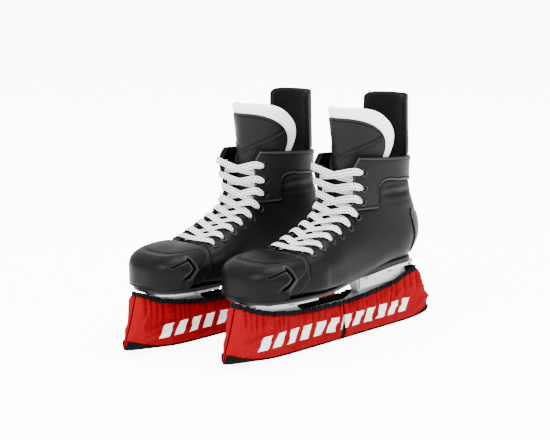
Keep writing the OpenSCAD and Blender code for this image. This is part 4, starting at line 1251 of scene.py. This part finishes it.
cover = {
    "front": 312.0,                # x of the cover's nose
    "rear": -36.0,                 # x of its heel
    "width": 32.0,                 # filled width
    "base": 2.4,                   # height of its underside over the floor
    "edge": [62, 59, 52, 47, 44, 44, 45, 49, 55.5, 66],   # height of the upper edge, heel to nose
    "color": (0.140, 0.0, 0.0022),
    "gather": 4.4,                 # depth of the gathers under the elastic
    "gatherEvery": 11.5,           # mm from one gather to the next
    "scallop": 2.8,                # how far the cloth rises over the elastic between gathers
    "hemWave": 3.0,                # how unevenly the lower edge hangs
    "strap": (0.4765, 0.5045),     # where the middle strap crosses, as shares of the length
    "binding": 5.0,                # height of the elastic
    # the inside's colour is painted shade in the cover's hollow
    "paintedInsideShade": (0.002, 0.002, 0.002),
    "barColor": (0.66, 0.66, 0.66),
    "bars": (24.0, 285.0),         # where the row of bars starts and ends, in x
    "barEvery": 22.0,
    "barWide": 0.60,               # share of the spacing that is white
    "barSlant": 0.42,
    "barHeights": (15.0, 31.0),
}


def coverMaterial():
    # UV is (x, height) in mm; plain white slanted bars run along each side, and the inside is painted near
    # black as shade
    tree, shader, uv, shade = clothMaterial("coverRed", cover["color"], 0.8, (1.6, 1.6), 0.35, 0.0, 0.0002)
    split = addNode(tree, "ShaderNodeSeparateXYZ", {0: uv})
    x, z = split.outputs[0], split.outputs[1]
    lean = math2(tree, "ADD", x, math2(tree, "MULTIPLY", z, cover["barSlant"]))
    fromFirst = math2(tree, "SUBTRACT", lean, cover["bars"][0])
    phase = math2(tree, "FRACT", math2(tree, "DIVIDE", fromFirst, cover["barEvery"]))
    mask = math2(tree, "LESS_THAN", phase, cover["barWide"])
    for value, low, high in ((lean, *cover["bars"]), (z, *cover["barHeights"])):
        mask = math2(tree, "MULTIPLY", mask, math2(tree, "GREATER_THAN", value, low))
        mask = math2(tree, "MULTIPLY", mask, math2(tree, "LESS_THAN", value, high))
    color = addNode(tree, "ShaderNodeMix", {0: mask, 6: shade.outputs[2]}, data_type="RGBA")
    color.inputs[7].default_value = (*cover["barColor"], 1)
    within = math2(tree, "GREATER_THAN", z, 500.0)             # the inside carries heights from 1000 up
    # painted shade: the cover's inside turns near black
    insideShadeMix = addNode(tree, "ShaderNodeMix", {0: within, 6: color.outputs[2]}, data_type="RGBA")
    insideShadeMix.inputs[7].default_value = (*cover["paintedInsideShade"], 1)
    tree.links.new(insideShadeMix.outputs[2], shader.inputs["Base Color"])


coverMaterial()


def coverBase(t):
    # height of the underside, rising at the nose and the heel
    nose, back = np.clip((t - 0.72) / 0.28, 0, 1), np.clip((0.16 - t) / 0.16, 0, 1)
    return mix(1.5, cover["base"], smooth(0.78, 0.92, t)) + 6 * nose ** 2 + 4 * back ** 2


def coverEdge(t):
    # height of the upper edge
    table = np.array(cover["edge"], float)[:, None]
    return spline(table, t * (len(table) - 1))[..., 0]


def coverSurface(s, v, off=0.0):
    # s from 0 at the heel to 1 at the nose; v from -1 to 1 across, 0 along the underside
    e = np.sin(np.pi * (s - 0.5))
    t = (1 + e) / 2
    close = np.clip(1 - np.abs(e) ** 14, 0, 1) ** 0.3
    low, high = coverBase(t) + off, coverEdge(t)
    a, w = np.radians(90 * np.abs(v)), (cover["width"] / 2 - off) * close
    z = mix(low, high, 1 - np.clip(np.cos(a), 0, 1) ** 0.9)
    lean = (16 * np.clip(t * 4 - 3, 0, 1) * np.clip((z - 12) / 55, 0, 1)
            - 27 * np.clip(1 - 4 * t, 0, 1) * np.clip((z - 26) / 36, 0, 1))
    x = mix(cover["rear"], cover["front"], t) - lean - off * e
    square = mix(mix(0.40, 0.62, smooth(0.80, 0.95, t)), 0.62, smooth(0.1, 0.7, np.abs(v)))
    bulge = 1 + 0.10 * np.sin(np.clip(np.abs(v) / 0.7, 0, 1) * np.pi) * (1 - smooth(0.8, 0.95, t))
    y = np.sign(v) * w * np.sin(a) ** square * bulge * (1 - 0.16 * np.abs(v) ** 5)
    return np.stack([x, y, z + 0 * x], -1)


def gatherWave(x, seed):
    # one bulge of cloth after another along the elastic, with narrow valleys between them
    phase = np.pi * (x + 13 * noise(x / 21, 0 * x + seed, seed)) / cover["gatherEvery"]
    return (np.abs(np.sin(phase)) ** 0.6 - 0.6) * (1 + 0.6 * noise(x / 15, 0 * x + 5, seed + 9))


def coverFolds(x, v, z, seed):
    # gathers under the elastic, slack folds lower down and a pinch at the strap, in mm
    up = np.abs(v)
    reach = 0.80 + 0.13 * noise(x / cover["gatherEvery"] * 1.3, 0 * x + 3, seed + 1)
    deep = smooth(reach - 0.15, 0.94, up) * (1 + 0.4 * noise(x / 13, 0 * x, seed + 4))
    pulled = 1 - 0.4 * smooth(0.95, 1.0, up)
    gathers = gatherWave(x, seed) * cover["gather"] * deep * pulled
    ridged = 1 - np.abs(noise((x + z * 0.8) / 26, z / 17, seed + 2, 2))
    slack = (ridged ** 4 - 0.4) * 3.2 * smooth(0.12, 0.4, up) * (1 - 0.6 * np.clip(deep, 0, 1))
    return gathers + slack


def makeCover(sideName, side):
    # two red halves that nearly meet over the black strap
    body = f"{sideName}_cover"
    strapRear, strapFront = cover["strap"]
    # name, replaced node, the strap's edge, the far end, the way it runs from the strap, seed of its folds
    halves = (("coverFront", "cover_front", strapFront, 0.9994, 1, 5),
              ("coverRear", "cover_rear", strapRear, 0.0006, -1, 21))
    for kind, node, strapEdge, far, way, seed in halves:
        v = (crowded(104, 0.35) * 2 - 1)[None]
        # the two halves nearly meet over the strap, except low down where it shows
        meet = mix(0.0078, 0.0130, smooth(0.45, 0.80, np.abs(v)))
        lean = 0.004 * (np.abs(v) - 0.6)
        near = strapEdge + lean - way * meet
        run = crowded(200, 0.25)[:, None]
        s = mix(near, far, run) if way > 0 else mix(far, near, run)
        p = coverSurface(s, v)
        n = -gridNormals(p)
        bump = coverFolds(p[..., 0], v, p[..., 2], seed)
        p[..., 2] += cover["scallop"] * gatherWave(p[..., 0], seed) * smooth(0.86, 1.0, np.abs(v))
        bump = bump * mix(0.35, 1, smooth(0, 5, p[..., 2] - coverBase((1 + np.sin(np.pi * (s - 0.5))) / 2)))
        hem = bell(np.abs(v), 0.42, 0.16)
        sag = np.clip(noise(p[..., 0] / 13, 0 * p[..., 0], seed + 7) + 0.3, 0, 2)
        p[..., 2] += cover["hemWave"] * sag * hem
        away = np.minimum(np.abs(s - near), 0.03) / 0.03
        bump = bump * smooth(0, 0.5, away) + 1.5 * bell(away, 0.42, 0.3) - 0.3
        ends = smooth(0, 0.03, s) * smooth(1, 0.97, s)
        bump = bump * ends
        verts, faces = pillow(p, -1.2, 0.0, 0.8, bump, bump * 0.9, normals=n)
        verts[:, 2] = np.maximum(verts[:, 2], 0.4)
        uv = shellUv(np.stack([p[..., 0], p[..., 2]], -1))
        uv[p[..., 0].size:, 1] += 1000                     # marks the inside, which is painted near black as shade
        makeMesh(f"{sideName}.{kind}", verts, faces, side, body, "coverRed", uv=uv,
                 replaces=[f"{sideName}_{node}"], flip=True)
    s = mix(*cover["strap"], crowded(24, 0.4))[:, None]
    v = (crowded(110, 0.35) * 2 - 1)[None]
    p = coverSurface(s, v)
    verts, faces = pillow(p, -3.0, -1.9, 0.5, 0.2 * noise(s * 300, v * 14, 3), normals=-gridNormals(p))
    uv = shellUv(np.stack([p[..., 0], p[..., 2]], -1))
    makeMesh(f"{sideName}.coverStrap", verts, faces, side, body, "webbing", uv=uv,
             replaces=[f"{sideName}_cover_gusset"], flip=True)
    makeBinding(sideName, side, body)
    makeStrip(sideName, side, body)


def makeBinding(sideName, side, body):
    # a ruffled elastic band swept along the cover's upper edge
    s = np.linspace(0.028, 0.982, 420)
    loop = np.concatenate([coverSurface(s, 1.0 + 0 * s), coverSurface(s[::-1], -1.0 + 0 * s)])
    for _ in range(3):
        loop = (np.roll(loop, 1, 0) + loop + np.roll(loop, -1, 0)) / 3
    run = lengthAlong(loop)
    at = np.linspace(0, run[-1], 1100, endpoint=False)
    loop = resample(at, run, loop)
    tangent = unit(np.roll(loop, -1, 0) - np.roll(loop, 1, 0))
    out = unit(np.cross(tangent, [0.0, 0.0, 1.0])) * -1
    depth = 0.5 + 0.3 * noise(at / 14, 0 * at, 2)
    ruffle = np.sin(2 * np.pi * at / 4.6 + 4 * noise(at / 20, 0 * at, 7)) * depth
    ruffle = ruffle + 0.9 * noise(at / 12, 0 * at, 9)
    wave = np.where(loop[:, 0] > 138, gatherWave(loop[:, 0], 5), gatherWave(loop[:, 0], 21))
    path = loop + [0, 0, cover["binding"] / 2 - 0.6] + out * (-1.2 + ruffle + 1.2 * wave)[:, None]
    path[:, 2] += 0.9 * noise(at / 9, 0 * at, 12) + 1.6 * wave
    up = np.broadcast_to([0.0, 0.0, 1.0], path.shape)
    verts, faces, uv = sweep(path, up, out, cover["binding"] + 0.8 + 0.5 * ruffle, 2.6, 2.6, 14, closed=True)
    makeMesh(f"{sideName}.coverElastic", verts, faces, side, body, "elastic", uv=uv,
             replaces=[f"{sideName}_cover_binding"])


def makeStrip(sideName, side, body):
    # the wear strip under the cover, wider at its two ends
    s = mix(0.012, 0.990, crowded(200, 0.5))[:, None]
    t = (1 + np.sin(np.pi * (s - 0.5))) / 2
    reach = 0.17 + 0.22 * smooth(0.86, 1.0, t) + 0.16 * smooth(0.10, 0.0, t)
    w = (crowded(36, 0.5) * 2 - 1)[None]
    v = w * reach
    p = coverSurface(s, v)
    n = -gridNormals(p)
    verts, faces = pillow(p, 0.1, 1.5, 0.7, 0.15 * noise(p[..., 0] / 3, v * 20, 4), normals=n)
    uv = shellUv(np.stack([p[..., 0], w * 12 + 0 * s], -1))
    verts[:, 2] = np.maximum(verts[:, 2], 0.0)
    makeMesh(f"{sideName}.coverStrip", verts, faces, side, body, "pad", uv=uv,
             replaces=[f"{sideName}_cover_strip"], flip=True)


for sideName, side in sides.items():
    makeQuarter(sideName, side, False)
    makeQuarter(sideName, side, True)
    makePanel(sideName, side)
    makeCounter(sideName, side)
    makeToeCap(sideName, side)
    makeEyelets(sideName, side)
    print("upper made", sideName)
    makeLace(sideName, side)
    makeTongue(sideName, side)
    makeGuard(sideName, side)
    makeInside(sideName, side)
    makeSole(sideName, side)
    print("soft parts made", sideName)
    makeCover(sideName, side)
    print("cover made", sideName)

studio = {
    "floor": (0.98, 0.98, 0.98),
    "world": 2.0,
    "glow": 1.6,
    "seenWorld": 14.0,             # brightness of the backdrop and the floor as the camera sees them
    "seenGlow": 9.0,
    # name, place, watts and size of each light
    "lights": [("key", (1.9, 0.1, 1.4), 95, 1.3), ("side", (-0.7, 1.9, 1.0), 32, 0.9),
               ("top", (-0.2, 0.3, 2.2), 110, 1.5)],
    "half": 40,                    # half the floor's width, in metres
}


def makeStudio():
    # white floor and backdrop, brighter to the camera than to the skates, and three soft lights
    mesh = bpy.data.meshes.new("floor")
    half = studio["half"]
    corners = [(-half, -half, 0), (half, -half, 0), (half, half, 0), (-half, half, 0)]
    mesh.from_pydata(corners, [], [(0, 1, 2, 3)])
    floor = bpy.data.objects.new("floor", mesh)
    scene.collection.objects.link(floor)
    tree, shader = newMaterial("floor", studio["floor"], 0.6)
    shader.inputs["Emission Color"].default_value = (1, 1, 1, 1)
    seen = addNode(tree, "ShaderNodeLightPath").outputs["Is Camera Ray"]
    glow = addNode(tree, "ShaderNodeMapRange", {0: seen, 3: studio["glow"], 4: studio["seenGlow"]})
    tree.links.new(glow.outputs[0], shader.inputs["Emission Strength"])
    mesh.materials.append(materials["floor"])
    world = bpy.data.worlds.new("world")
    world.use_nodes = True
    world.node_tree.nodes["Background"].inputs[0].default_value = (1, 1, 1, 1)
    seen = addNode(world.node_tree, "ShaderNodeLightPath").outputs["Is Camera Ray"]
    strength = addNode(world.node_tree, "ShaderNodeMapRange",
                       {0: seen, 3: studio["world"], 4: studio["seenWorld"]})
    world.node_tree.links.new(strength.outputs[0], world.node_tree.nodes["Background"].inputs[1])
    scene.world = world
    for name, spot, power, size in studio["lights"]:
        data = bpy.data.lights.new(name, "AREA")
        data.energy, data.size = power, size
        light = bpy.data.objects.new(name, data)
        light.location = spot
        light.rotation_mode = "QUATERNION"
        light.rotation_quaternion = (Vector((0, 0, 0.12)) - Vector(spot)).to_track_quat("-Z", "Y")
        scene.collection.objects.link(light)


makeStudio()
